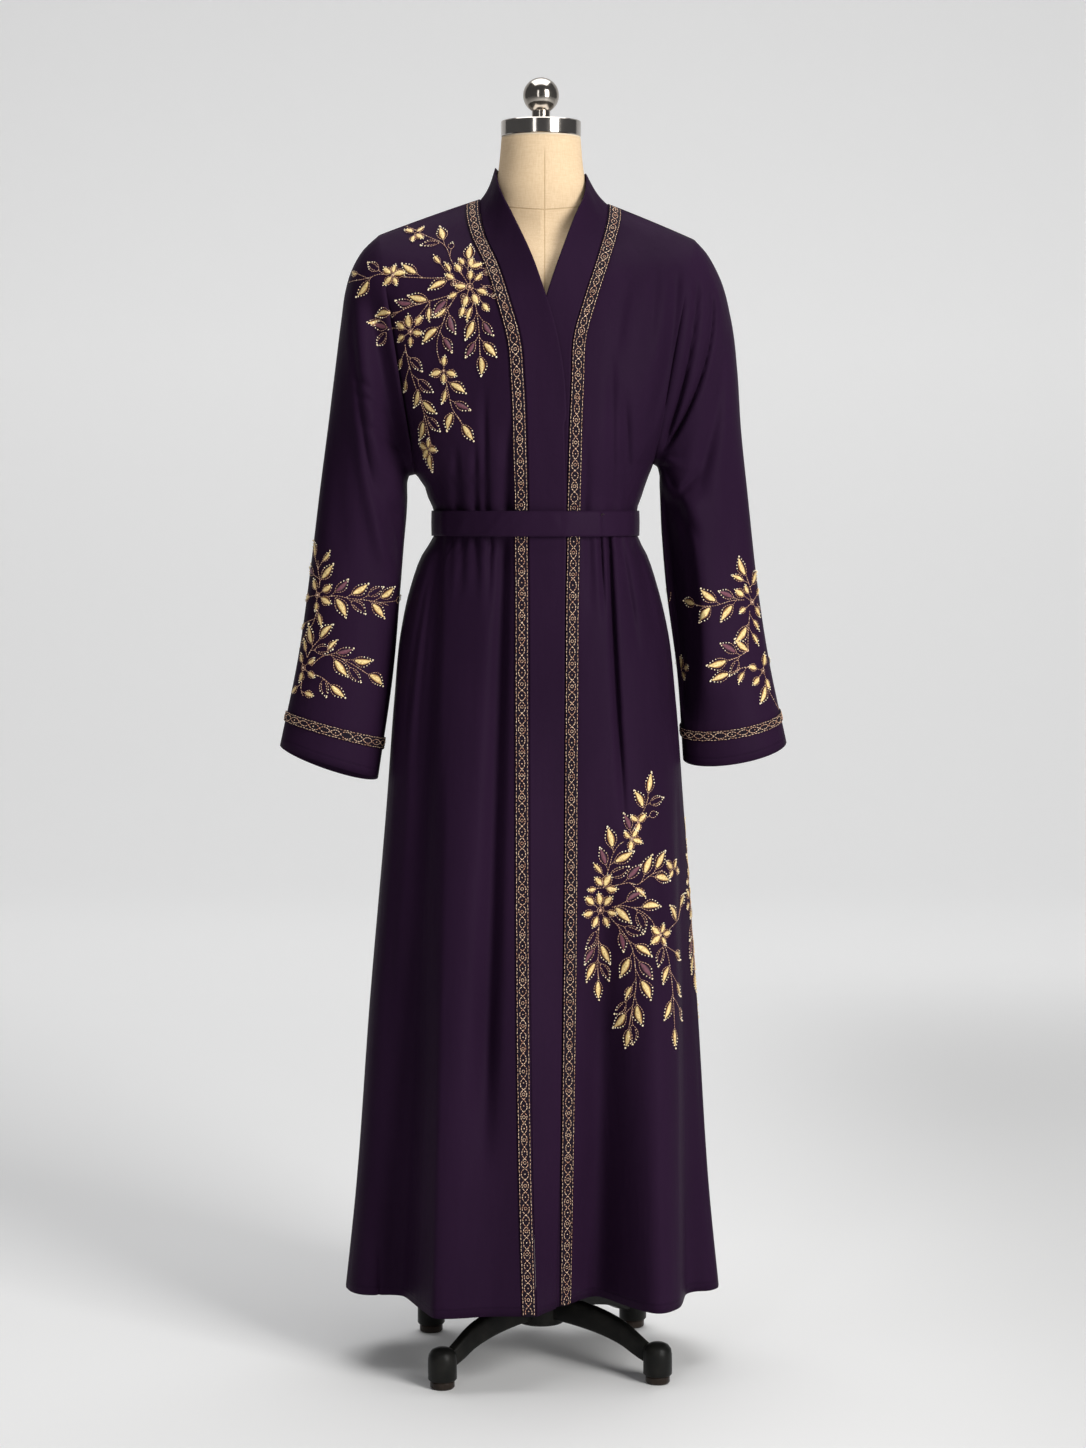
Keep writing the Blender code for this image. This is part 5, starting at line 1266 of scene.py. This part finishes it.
# Embroidery, in millimetres in the front view: each place is its distance across and up
sprays = {
    "shoulder": {"flowers": [
        {"at": (-91, 1373), "ring": 4.6,
         "petals": "-103,1374 -113,1362 -106,1397 -117,1386 -90,1388 -80,1386 -75,1366 -83,1357 "
         "-70,1347 -101,1341 -96,1354 -88,1404"},
        {"at": (-70, 1391), "ring": 4.2, "petals": ""},
        {"at": (-99, 1361), "ring": 3.6, "petals": ""},
        {"at": (-59, 1362), "ring": 4.4, "petals": ""},
        {"at": (-112, 1377), "ring": 3.2, "petals": ""},
        {"at": (-161, 1441), "ring": 0, "petals": "-169,1444 -163,1434 -155,1437 -154,1446"},
        {"at": (-189, 1388), "ring": 2, "petals": "-196,1394 -187,1396 -180,1389 -186,1380 -196,1381"},
        {"at": (-166, 1316), "ring": 3.5,
         "petals": "-179,1324 -168,1330 -155,1330 -157,1315 -166,1303 -178,1307"},
        {"at": (-143, 1166), "ring": 0, "petals": "-150,1170 -143,1174 -137,1165 -146,1160"},
        {"at": (-124, 1266), "ring": 2, "petals": "-123,1279 -134,1263 -124,1256 -114,1262"},
    ], "stems": [
        {"stem": "-101,1388 -114,1405 -120,1421 -129,1430 -145,1437 -163,1446 -179,1452 -193,1454",
         "gold": "-127,1441", "open": "-142,1427", "loop": "-114,1425"},
        {"stem": "-93,1388 -93,1398 -91,1405", "gold": "-91,1417", "petal": "-102,1405 -82,1400",
         "loop": "-72,1399"},
        {"stem": "-105,1377 -120,1384 -142,1384 -165,1385 -180,1386", "gold": "-168,1396 -132,1375",
         "thin": "-133,1408 -120,1398"},
        {"stem": "-196,1388 -207,1389 -221,1384 -237,1381 -244,1379", "open": "-214,1399",
         "gold": "-227,1371", "thin": "-237,1391"},
        {"stem": "-105,1366 -127,1359 -145,1354 -163,1349 -178,1343 -189,1335",
         "gold": "-157,1359 -201,1338", "mauve": "-129,1347 -175,1354", "thin": "-215,1329"},
        {"stem": "-178,1320 -188,1321 -196,1318", "mauve": "-205,1324", "open": "-204,1307"},
        {"stem": "-142,1354 -152,1341 -163,1327", "thin": "-142,1338"},
        {"stem": "-173,1300 -170,1283 -164,1260 -157,1239 -151,1220 -146,1201 -141,1178 -138,1162",
         "thin": "-179,1275 -173,1247", "gold": "-159,1231 -142,1220 -152,1190 -140,1149",
         "open": "-159,1274 -147,1247 -136,1198"},
        {"stem": "-110,1359 -119,1344 -125,1327 -132,1306 -132,1290 -128,1275", "gold": "-141,1311",
         "mauve": "-113,1325 -119,1299", "thin": "-129,1340"},
        {"stem": "-122,1257 -119,1244 -114,1221 -108,1210 -101,1201",
         "gold": "-106,1244 -116,1201 -93,1187", "thin": "-124,1233", "mauve": "-100,1221"},
        {"stem": "-86,1359 -82,1343 -79,1318 -78,1295 -77,1285", "gold": "-91,1318 -65,1293 -77,1272",
         "mauve": "-67,1320 -90,1293", "thin": "-91,1338"},
        {"stem": "-77,1376 -70,1372", "open": "-63,1368"},
    ]},
    "rightCuff": {"flowers": [
        {"at": (-285, 979), "ring": 3.5, "petals": "-287,964 -274,972 -273,988 -288,993 -298,975"},
        {"at": (-303, 886), "ring": 4, "petals": "-293,895 -306,874 -293,877 -315,881 -305,899"},
    ], "stems": [
        {"stem": "-283,988 -282,998 -284,1011 -284,1024", "gold": "-273,1009 -289,1038",
         "mauve": "-293,1010", "thin": "-274,1029"},
        {"stem": "-274,977 -260,978 -246,975 -227,973 -209,970 -196,966", "mauve": "-255,991",
         "gold": "-232,987 -197,983 -256,963 -209,959", "open": "-212,984 -234,963", "loop": "-184,973"},
        {"stem": "-298,899 -292,911 -285,920", "gold": "-294,929 -274,932", "thin": "-301,915",
         "open": "-278,909"},
        {"stem": "-293,888 -280,900 -266,902 -244,892 -224,879", "mauve": "-251,908",
         "gold": "-228,896 -212,870 -256,886", "open": "-238,877", "thin": "-266,915"},
        {"stem": "-291,878 -279,873 -270,865", "gold": "-260,856", "open": "-276,860"},
        {"stem": "-285,960 -291,942 -301,927 -308,909", "thin": "-303,940 -282,947"},
        {"stem": "-305,868 -306,858 -303,849", "petal": "-314,858 -296,852"},
    ]},
    "leftCuff": {"flowers": [
        {"at": (269, 970), "ring": 3.5, "petals": "253,982 262,987 257,959 276,983 276,957"},
        {"at": (283, 882), "ring": 3.5, "petals": "284,897 270,886 274,869 289,865 294,890"},
        {"at": (180, 884), "ring": 0, "petals": "173,890 181,894 188,887 184,876 174,877"},
    ], "stems": [
        {"stem": "160,958 164,970 165,984", "thin": "158,974"},
        {"stem": "268,982 265,993 262,1001", "gold": "257,1016 273,1001", "thin": "251,1001"},
        {"stem": "259,973 243,972 224,966 210,965 201,966", "mauve": "236,980",
         "gold": "214,979 237,956 209,954 191,970"},
        {"stem": "266,959 265,942 264,924 264,908", "gold": "255,929", "thin": "274,940 273,922"},
        {"stem": "264,908 252,900 239,895", "mauve": "239,911", "gold": "225,892 256,915",
         "open": "246,886"},
        {"stem": "270,886 257,886 244,878", "gold": "229,874", "thin": "256,873"},
        {"stem": "285,869 291,855 298,842 303,832", "gold": "283,852", "thin": "302,858"},
        {"stem": "275,968 283,952 287,929 288,909", "thin": "294,945 279,937", "mauve": "297,922"},
    ]},
    "skirt": {"flowers": [
        {"at": (76, 576), "ring": 4.5, "petals": "74,591 87,588 61,588 92,573 84,561 59,572 68,561"},
        {"at": (81, 605), "ring": 0, "petals": "73,613 86,614 64,603 91,604"},
        {"at": (152, 544), "ring": 1.5, "petals": "146,550 154,553 160,547 156,536 146,538"},
        {"at": (168, 628), "ring": 0, "petals": "163,634 170,635 173,626 165,622"},
        {"at": (115, 667), "ring": 2, "petals": "110,673 119,675 123,664 114,658"},
        {"at": (125, 689), "ring": 0, "petals": "129,694 123,682 119,694"},
    ], "stems": [
        {"stem": "115,675 122,686 129,700 134,712 137,722", "gold": "138,739 124,718", "open": "147,716",
         "loop": "143,698", "mauve": "109,689"},
        {"stem": "83,617 87,630 92,648 99,659 106,664", "gold": "88,669 106,644", "mauve": "79,645",
         "open": "100,626", "thin": "72,630"},
        {"stem": "91,607 101,609 113,611 124,609 140,621 155,627", "gold": "137,634 152,640 155,616",
         "mauve": "119,625", "thin": "127,598"},
        {"stem": "91,580 105,582 127,575 140,564 146,553", "gold": "141,580 105,570", "mauve": "120,593",
         "open": "128,561"},
        {"stem": "88,568 104,550 116,530 120,512 122,481 118,454 114,429",
         "open": "119,550 102,451 118,417", "mauve": "104,535 134,499",
         "gold": "131,524 108,503 134,474 127,442 101,435 111,412", "thin": "113,470"},
        {"stem": "74,562 73,544 73,525 72,504 73,489", "open": "63,538 82,497",
         "gold": "83,520 63,497 73,474", "mauve": "61,517"},
        {"stem": "155,535 161,518 165,493 168,461 169,433",
         "gold": "174,517 159,493 175,474 161,448 170,412", "open": "152,516 177,442"},
        {"stem": "163,552 173,563 177,579", "gold": "168,572 179,589"},
    ]},
}  # fmt: skip

# length and width of each leaf, and how much of its outline is beads
leafKinds = {
    # the fill's width is a share of the leaf's, and each outline's a share of it too
    "gold": {"size": (0.0268, 0.0138), "fill": ("goldSatin", 0.6), "beaded": 0.5, "rings": (1,)},
    "thin": {"size": (0.0190, 0.0080), "fill": ("goldSatin", 0.64), "beaded": 0.35, "rings": (1,)},
    "mauve": {"size": (0.0245, 0.0116), "fill": ("mauveSatin", 0.56), "beaded": 0.45, "rings": (1,)},
    "open": {"size": (0.0250, 0.0126), "fill": None, "beaded": 0.45, "rings": (1, 0.58)},
    "loop": {"size": (0.0135, 0.0082), "fill": None, "beaded": 0.25, "rings": (1,)},
    "petal": {"size": (0.0150, 0.0104), "fill": ("goldSatin", 0.7), "beaded": 0.25, "rings": (1,)},
}
# How high stitches and beads lie over the cloth, how far apart, and how big the beads are
sewing = {
    "stitchLift": 0.00022, "beadLift": 0.00045, "tipLift": 0.0007, "eyeLift": 0.0006,
    "fillLift": 0.00015, "fillSwell": 0.00055, "petalLift": 0.0008,  # at most
    "beadStep": 0.0041, "bead": 0.00092, "dotStep": 0.021, "dot": 0.00062, "eye": 0.0008,
    "tips": {"gold": 0.0014, "mauve": 0.0014, "open": 0.0014},
    "smallTip": 0.0009,
    "farLeaf": 0.06,  # a leaf whose stem is farther away than this lies on another fold, and is left out
    "jump": 0.02,  # a stem stops where the cloth under it jumps by this much
}  # fmt: skip
copies = {
    # each spray's places: the panel, seen from (degrees round from the front), shift across and up
    "shoulder": [("front_right", 0, 0, 0), ("back_right", 180, 0, 0.006)],
    "rightCuff": [("front_right", 0, 0, 0), ("back_right", 180, 0.002, 0.004)],
    "leftCuff": [("front_left", 0, 0, 0), ("back_left", 180, -0.002, 0.004)],
    "skirt": [("front_left", 0, 0, 0), ("front_left", 90, -0.090, 0.012), ("back_left", 180, 0.004, -0.03)],
}
panelNames = ("front_right", "front_left", "back_right", "back_left")
sewn = {name: Needle("goldSatin", "mauveSatin", "goldThread", "bead") for name in panelNames}


def makeSkin():
    points, faces = [], []
    for name in panelNames:
        mesh = bpy.data.objects["abaya_" + name].data
        start = len(points)
        points += [v.co.copy() for v in mesh.vertices]
        faces += [[k + start for k in p.vertices] for p in mesh.polygons]
    return BVHTree.FromPolygons(points, faces)


def leafOutline(share, point=1.0):
    # width of a leaf at a share of its length, from stalk to tip
    return np.clip(np.sin(math.pi * np.clip(share, 0, 1) ** 0.88), 0, 1) ** point


class Ground:
    # the cloth's outer face, seen from one side of the garment
    def __init__(self, skin, degrees, shift, rise):
        self.skin, self.degrees, self.shift, self.rise = skin, degrees, shift, rise
        turn = math.radians(degrees)
        self.ahead = Vector((-math.sin(turn), math.cos(turn), 0))
        self.side = Vector((math.cos(turn), math.sin(turn), 0))

    def find(self, spot):
        # where a place in the view lies on the cloth
        x, z = spot[0] * 0.001 + self.shift, spot[1] * 0.001 + self.rise
        if self.degrees == 0:
            start = Vector(view["place"])
            aim = Vector((x + centring[0], centring[1], z)) - start
        else:
            # from behind, the same place on the other side of the cloth
            across = -x - centring[0] if self.degrees == 180 else x
            start = self.side * across + Vector((0, 0, z)) - self.ahead * 2
            aim = self.ahead
        place, normal = self.skin.ray_cast(start, aim)[:2]
        return (None, None) if place is None else (np.array(place), np.array(normal))

    def press(self, points, lift):
        # points in the air, brought down on the cloth
        out, normals = np.empty_like(points), np.empty_like(points)
        for k, point in enumerate(points):
            place, normal = self.skin.find_nearest(Vector(point))[:2]
            out[k], normals[k] = place, normal
        lift = np.reshape(lift, (-1, 1)) if np.ndim(lift) else lift
        return out + normals * (wall + lift), normals


def sewLeaf(needle, ground, kind, centre, foot, chance):
    place, normal = ground.find(centre)
    root, _ = ground.find(foot)
    if place is None or root is None or np.linalg.norm(place - root) > sewing["farLeaf"]:
        return
    look = leafKinds[kind]
    scale = chance.uniform(0.80, 1.22) if kind == "petal" else chance.uniform(0.92, 1.08)
    length, width = look["size"][0] * scale, look["size"][1] * scale
    ahead = place - root
    ahead = unit(ahead - normal * np.dot(ahead, normal))
    side = np.cross(ahead, normal)
    bend = chance.uniform(-0.10, 0.10) * length

    def local(across, along, point=1.0):
        # across in shares of the half width, along from 0 to 1
        wide = leafOutline(along, point) * width / 2 * across + bend * np.sin(math.pi * along)
        return place + side * wide[:, None] + ahead * ((along - 0.5) * length)[:, None]

    if look["fill"]:
        material, share = look["fill"]
        across, along = leafForm.points[:, 0] * 2, leafForm.points[:, 1] + 0.5
        put = local(across * share, 0.10 + along * 0.80, 1.25)
        raised = chance.uniform(0, sewing["petalLift"]) if kind == "petal" else 0
        padded = (1 - across**2) * np.clip(leafOutline(along) * 1.6, 0, 1)
        lift = sewing["fillLift"] + raised + sewing["fillSwell"] * padded
        points, _ = ground.press(put, lift)
        spread = across * leafOutline(along) * width / 2
        spots = np.stack([spread, along * length + chance.uniform(0, 0.4), across, along], -1)
        needle.add(points[None], leafForm.corners, material, spots[None])
    for ring in look["rings"]:
        t = np.linspace(0, 1, 60)
        for hand in (-1, 1):
            inset = (1 - ring) / 2
            line = local(np.full(60, hand * ring), inset + t * (1 - 2 * inset))
            sewLine(needle, ground, line, look["beaded"] if ring == 1 else 0.0)
    tip, _ = ground.press(local(np.zeros(1), np.ones(1)), sewing["tipLift"])
    needle.beads(tip, "bead", sewing["tips"].get(kind, sewing["smallTip"]))
    stalk = np.linalg.norm(place - root) - length / 2
    if stalk > 0.003:
        line = np.linspace(root, place - ahead * length / 2, 12)
        sewLine(needle, ground, line, 0.0)


def sewLine(needle, ground, line, beaded=0.0, step=0.0034, radius=0.00046):
    # running stitches along a line in the air over the cloth, the far end in beads
    whole = lengthsOf(line)[-1]
    count = max(1, round(whole * (1 - beaded) / step))
    marks = np.linspace(0, whole * (1 - beaded), count + 1)
    ends = marks[:-1] + (marks[1] - marks[0]) * 0.76
    starts, normals = ground.press(atLengths(line, marks[:-1]), sewing["stitchLift"])
    stops, _ = ground.press(atLengths(line, ends), sewing["stitchLift"])
    needle.stitches(starts, stops, normals, "goldThread", radius)
    if beaded:
        spots = np.arange(whole * (1 - beaded) + 0.0014, whole - 0.0016, sewing["beadStep"])
        if len(spots):
            places, _ = ground.press(atLengths(line, spots), sewing["beadLift"])
            needle.beads(places, "bead", sewing["bead"])


def readPlaces(text):
    return [tuple(float(number) for number in pair.split(",")) for pair in text.split()]


def curveThrough(spots):
    # a smooth line through places in the view
    spots = np.array(spots, float)
    ends = np.concatenate([spots[:1] * 2 - spots[1:2], spots, spots[-1:] * 2 - spots[-2:-1]])
    t = np.linspace(0, 1, 9)[:-1, None]
    out = []
    for p0, p1, p2, p3 in zip(ends, ends[1:], ends[2:], ends[3:]):
        out.append(((2 * p1) + (p2 - p0) * t + (2 * p0 - 5 * p1 + 4 * p2 - p3) * t**2
                    + (3 * p1 - p0 - 3 * p2 + p3) * t**3) / 2)  # fmt: skip
    return np.concatenate(out + [spots[-1:]])


def sewStem(needle, ground, curve, chance):
    found = [ground.find(spot)[0] for spot in curve]
    run = []
    for place in found + [None]:
        apart = run and place is not None and np.linalg.norm(place - run[-1]) > sewing["jump"]
        if place is None or apart:
            if len(run) > 3:
                line = np.array(run)
                sewLine(needle, ground, line, radius=0.00048)
                dots = np.arange(0.006, lengthsOf(line)[-1], sewing["dotStep"]) + chance.uniform(0, 0.005)
                places, _ = ground.press(atLengths(line, dots), sewing["beadLift"])
                needle.beads(places, "bead", sewing["dot"])
            run = []
        if place is not None:
            run.append(place)


def sewSpray(spray, needle, ground, chance):
    for stem in spray["stems"]:
        line = curveThrough(readPlaces(stem["stem"]))
        sewStem(needle, ground, line, chance)
        for kind in leafKinds:
            for centre in readPlaces(stem.get(kind, "")):
                gap = np.linalg.norm(line - centre, axis=1)
                near = int(np.argmin(gap))
                upstream = max(0, near - int(min(gap[near], 9) * 0.8))
                sewLeaf(needle, ground, kind, centre, line[upstream], chance)
    for flower in spray["flowers"]:
        for petal in readPlaces(flower["petals"]):
            sewLeaf(needle, ground, "petal", petal, flower["at"], chance)
        if flower["ring"]:
            place, normal = ground.find(flower["at"])
            if place is None:
                continue
            side = unit(np.cross(normal, [0.1, 0.2, 1.0]))  # any direction but the cloth's own
            up = np.cross(side, normal)
            turn = np.linspace(0, 2 * math.pi, 40)[:, None]
            for radius in (flower["ring"], flower["ring"] * 0.45):
                circle = place + (side * np.cos(turn) + up * np.sin(turn)) * radius * 0.001
                sewLine(needle, ground, circle, step=0.0020)
            needle.beads(ground.press(place[None], sewing["eyeLift"])[0], "bead", sewing["eye"])


def makeEmbroidery():
    skin = makeSkin()
    for name, panels in copies.items():
        for number, (panel, *seen) in enumerate(panels):
            chance = np.random.default_rng(11 + number)
            sewSpray(sprays[name], sewn[panel], Ground(skin, *seen), chance)
    for name, needle in sewn.items():
        needle.piece("embroidery_" + name, "trim", True)


makeEmbroidery()
tell("embroidery made")

# The dress form, its cap and its stand
Ring = namedtuple("Ring", "z wide front back square")
formRings = [Ring(*row) for row in (
    (1.5660, 0.0505, -0.0455, 0.0555, 2.00), (1.5200, 0.0550, -0.0500, 0.0600, 2.00),
    (1.4980, 0.0590, -0.0525, 0.0620, 2.00), (1.4780, 0.0640, -0.0510, 0.0640, 1.90),
    (1.4660, 0.0820, -0.0500, 0.0660, 1.55), (1.4560, 0.1120, -0.0490, 0.0670, 1.30),
    (1.4450, 0.1420, -0.0510, 0.0690, 1.25), (1.4320, 0.1600, -0.0560, 0.0740, 1.38),
    (1.4150, 0.1670, -0.0700, 0.0810, 1.60), (1.3850, 0.1680, -0.0850, 0.0900, 1.85),
    (1.3300, 0.1640, -0.1010, 0.0980, 2.00), (1.2500, 0.1480, -0.1140, 0.0980, 2.10),
    (1.1800, 0.1280, -0.1040, 0.0880, 2.15), (1.1200, 0.1150, -0.0920, 0.0800, 2.15),
    (1.0710, 0.1110, -0.0850, 0.0770, 2.15), (1.0200, 0.1170, -0.0870, 0.0830, 2.15),
    (0.9400, 0.1420, -0.0980, 0.1020, 2.15), (0.8800, 0.1520, -0.1030, 0.1080, 2.15),
    (0.8300, 0.1500, -0.1000, 0.1040, 2.15), (0.8110, 0.1430, -0.0940, 0.0980, 2.15),
    (0.8040, 0.1300, -0.0820, 0.0860, 2.15),
)]  # fmt: skip
stand = {
    "neckY": 0.005, "poleY": 0.020, "hub": (0.0310, 0.0450, 0.0860), "ballZ": 1.6192, "ballR": 0.0232,
    # outlines to spin: distance from the axis, and height
    "cap": [
        (0.0, 1.5663), (0.0508, 1.5663), (0.0515, 1.5670), (0.0515, 1.5848), (0.0505, 1.5860),
        (0.0, 1.5860),
    ],
    "stem": [(0.0, 1.5863), (0.0130, 1.5863), (0.0130, 1.5905), (0.0118, 1.5912), (0.0118, 1.5985)],
    "foot": [
        (0.0, 0.0104), (0.0168, 0.0104), (0.0180, 0.0120), (0.0180, 0.0360), (0.0168, 0.0425),
        (0.0134, 0.0472), (0.0075, 0.0498), (0.0, 0.0505),
    ],
    "legs": (-130.0, -40.0, 50.0, 140.0), "legSquare": 5.5, "footAt": 0.190,
}  # fmt: skip
Leg = namedtuple("Leg", "out low top lowWide topWide")
legRows = [Leg(*row) for row in (
    (0.0200, 0.0525, 0.0835, 0.0110, 0.0085), (0.0700, 0.0500, 0.0800, 0.0105, 0.0080),
    (0.1100, 0.0450, 0.0735, 0.0100, 0.0075), (0.1400, 0.0375, 0.0640, 0.0098, 0.0072),
    (0.1600, 0.0290, 0.0530, 0.0096, 0.0070), (0.1760, 0.0235, 0.0440, 0.0094, 0.0068),
)]  # fmt: skip


def closeUp(bm):
    bmesh.ops.remove_doubles(bm, verts=bm.verts, dist=0.00002)
    bmesh.ops.holes_fill(bm, edges=bm.edges, sides=0)
    bmesh.ops.recalc_face_normals(bm, faces=bm.faces)


def makeForm():
    turn = np.linspace(0, 2 * math.pi, 129)
    rows = []
    for z in np.linspace(formRings[0].z, formRings[-1].z, 110):
        ring = {c: float(through(formRings, "z", c, z)) for c in Ring._fields[1:]}
        wide, deep = superCircle(turn, ring["square"])
        y = (ring["front"] + ring["back"]) / 2 + (ring["back"] - ring["front"]) / 2 * deep
        rows.append(np.stack([ring["wide"] * wide, y, np.full(len(turn), z)], -1))
    grid = np.array(rows)
    grid[:, -1] = grid[:, 0]
    bm = bmesh.new()
    addGrid(bm, grid, False)
    closeUp(bm)
    piece = putPiece("dress_form", bm, ["linen"])
    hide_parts("form_torso")


def turned(bm, profile, place, steps):
    before = set(bm.verts)
    made = [bm.verts.new((r, 0, z)) for r, z in profile]
    edges = [bm.edges.new(pair) for pair in zip(made, made[1:])]
    around = {"axis": (0, 0, 1), "cent": (0, 0, 0), "angle": 2 * math.pi, "steps": steps}
    bmesh.ops.spin(bm, geom=made + edges, use_merge=True, **around)
    bmesh.ops.translate(bm, verts=[v for v in bm.verts if v not in before], vec=place)


def putHard(name, bm, finish, node, degrees=35):
    closeUp(bm)
    piece = putPiece(name, bm, [finish])
    piece.data.set_sharp_from_angle(angle=math.radians(degrees))
    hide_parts(node)


def makeCapAndBall():
    foot = math.asin(stand["stem"][-1][0] / stand["ballR"])
    arc = np.linspace(math.pi - foot, 0, 40)
    ball = [(stand["ballR"] * math.sin(a), stand["ballZ"] + stand["ballR"] * math.cos(a)) for a in arc]
    for name, profile, steps, finish, node in (
        ("nickel_cap", stand["cap"], 128, "cap", "neck_cap"),
        ("nickel_ball", stand["stem"][:-1] + ball, 96, "ball", "finial"),
    ):
        bm = bmesh.new()
        turned(bm, profile, (0, stand["neckY"], 0), steps)
        putHard(name, bm, finish, node)


def superCircle(turn, square):
    # a circle drawn out towards its corners
    cos, sin = np.cos(turn), np.sin(turn)
    return np.sign(cos) * abs(cos) ** (2 / square), np.sign(sin) * abs(sin) ** (2 / square)


def makeStand():
    wide, low, top = stand["hub"]
    hub = [(0, low), (wide - 0.002, low), (wide, low + 0.002)]
    hub += [(wide, top - 0.004), (wide - 0.006, top), (0, top)]
    bm = bmesh.new()
    turned(bm, hub, (0, stand["poleY"], 0), 64)
    centre = np.array([0, stand["poleY"], 0])
    wide, up = superCircle(np.linspace(0, 2 * math.pi, 33), stand["legSquare"])
    for degrees in stand["legs"]:
        turn = math.radians(degrees)
        ahead = np.array([math.cos(turn), math.sin(turn), 0])
        across = np.array([-math.sin(turn), math.cos(turn), 0])
        rows = []
        for out in np.linspace(legRows[0].out, legRows[-1].out, 26):
            leg = {c: float(through(legRows, "out", c, out)) for c in Leg._fields[1:]}
            half = leg["lowWide"] + (leg["topWide"] - leg["lowWide"]) * (up + 1) / 2
            z = (leg["low"] + leg["top"]) / 2 + (leg["top"] - leg["low"]) / 2 * up
            rows.append(centre + ahead * out + across * (wide * half)[:, None])
            rows[-1][:, 2] = z
        grid = np.array(rows)
        grid[:, -1] = grid[:, 0]
        addGrid(bm, grid, False)
        turned(bm, stand["foot"], tuple(centre + ahead * stand["footAt"]), 48)
    putHard("stand_base", bm, "base", "base", 40)


def dressNodes():
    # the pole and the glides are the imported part's own, in these finishes
    for name, node in frame["nodes"].items():
        if name.startswith("glide") or name == "pole":
            node.data.materials.clear()
            node.data.materials.append(finishes["glide" if name.startswith("glide") else "cap"])


makeForm()
makeCapAndBall()
makeStand()
dressNodes()
tell("form and stand made")
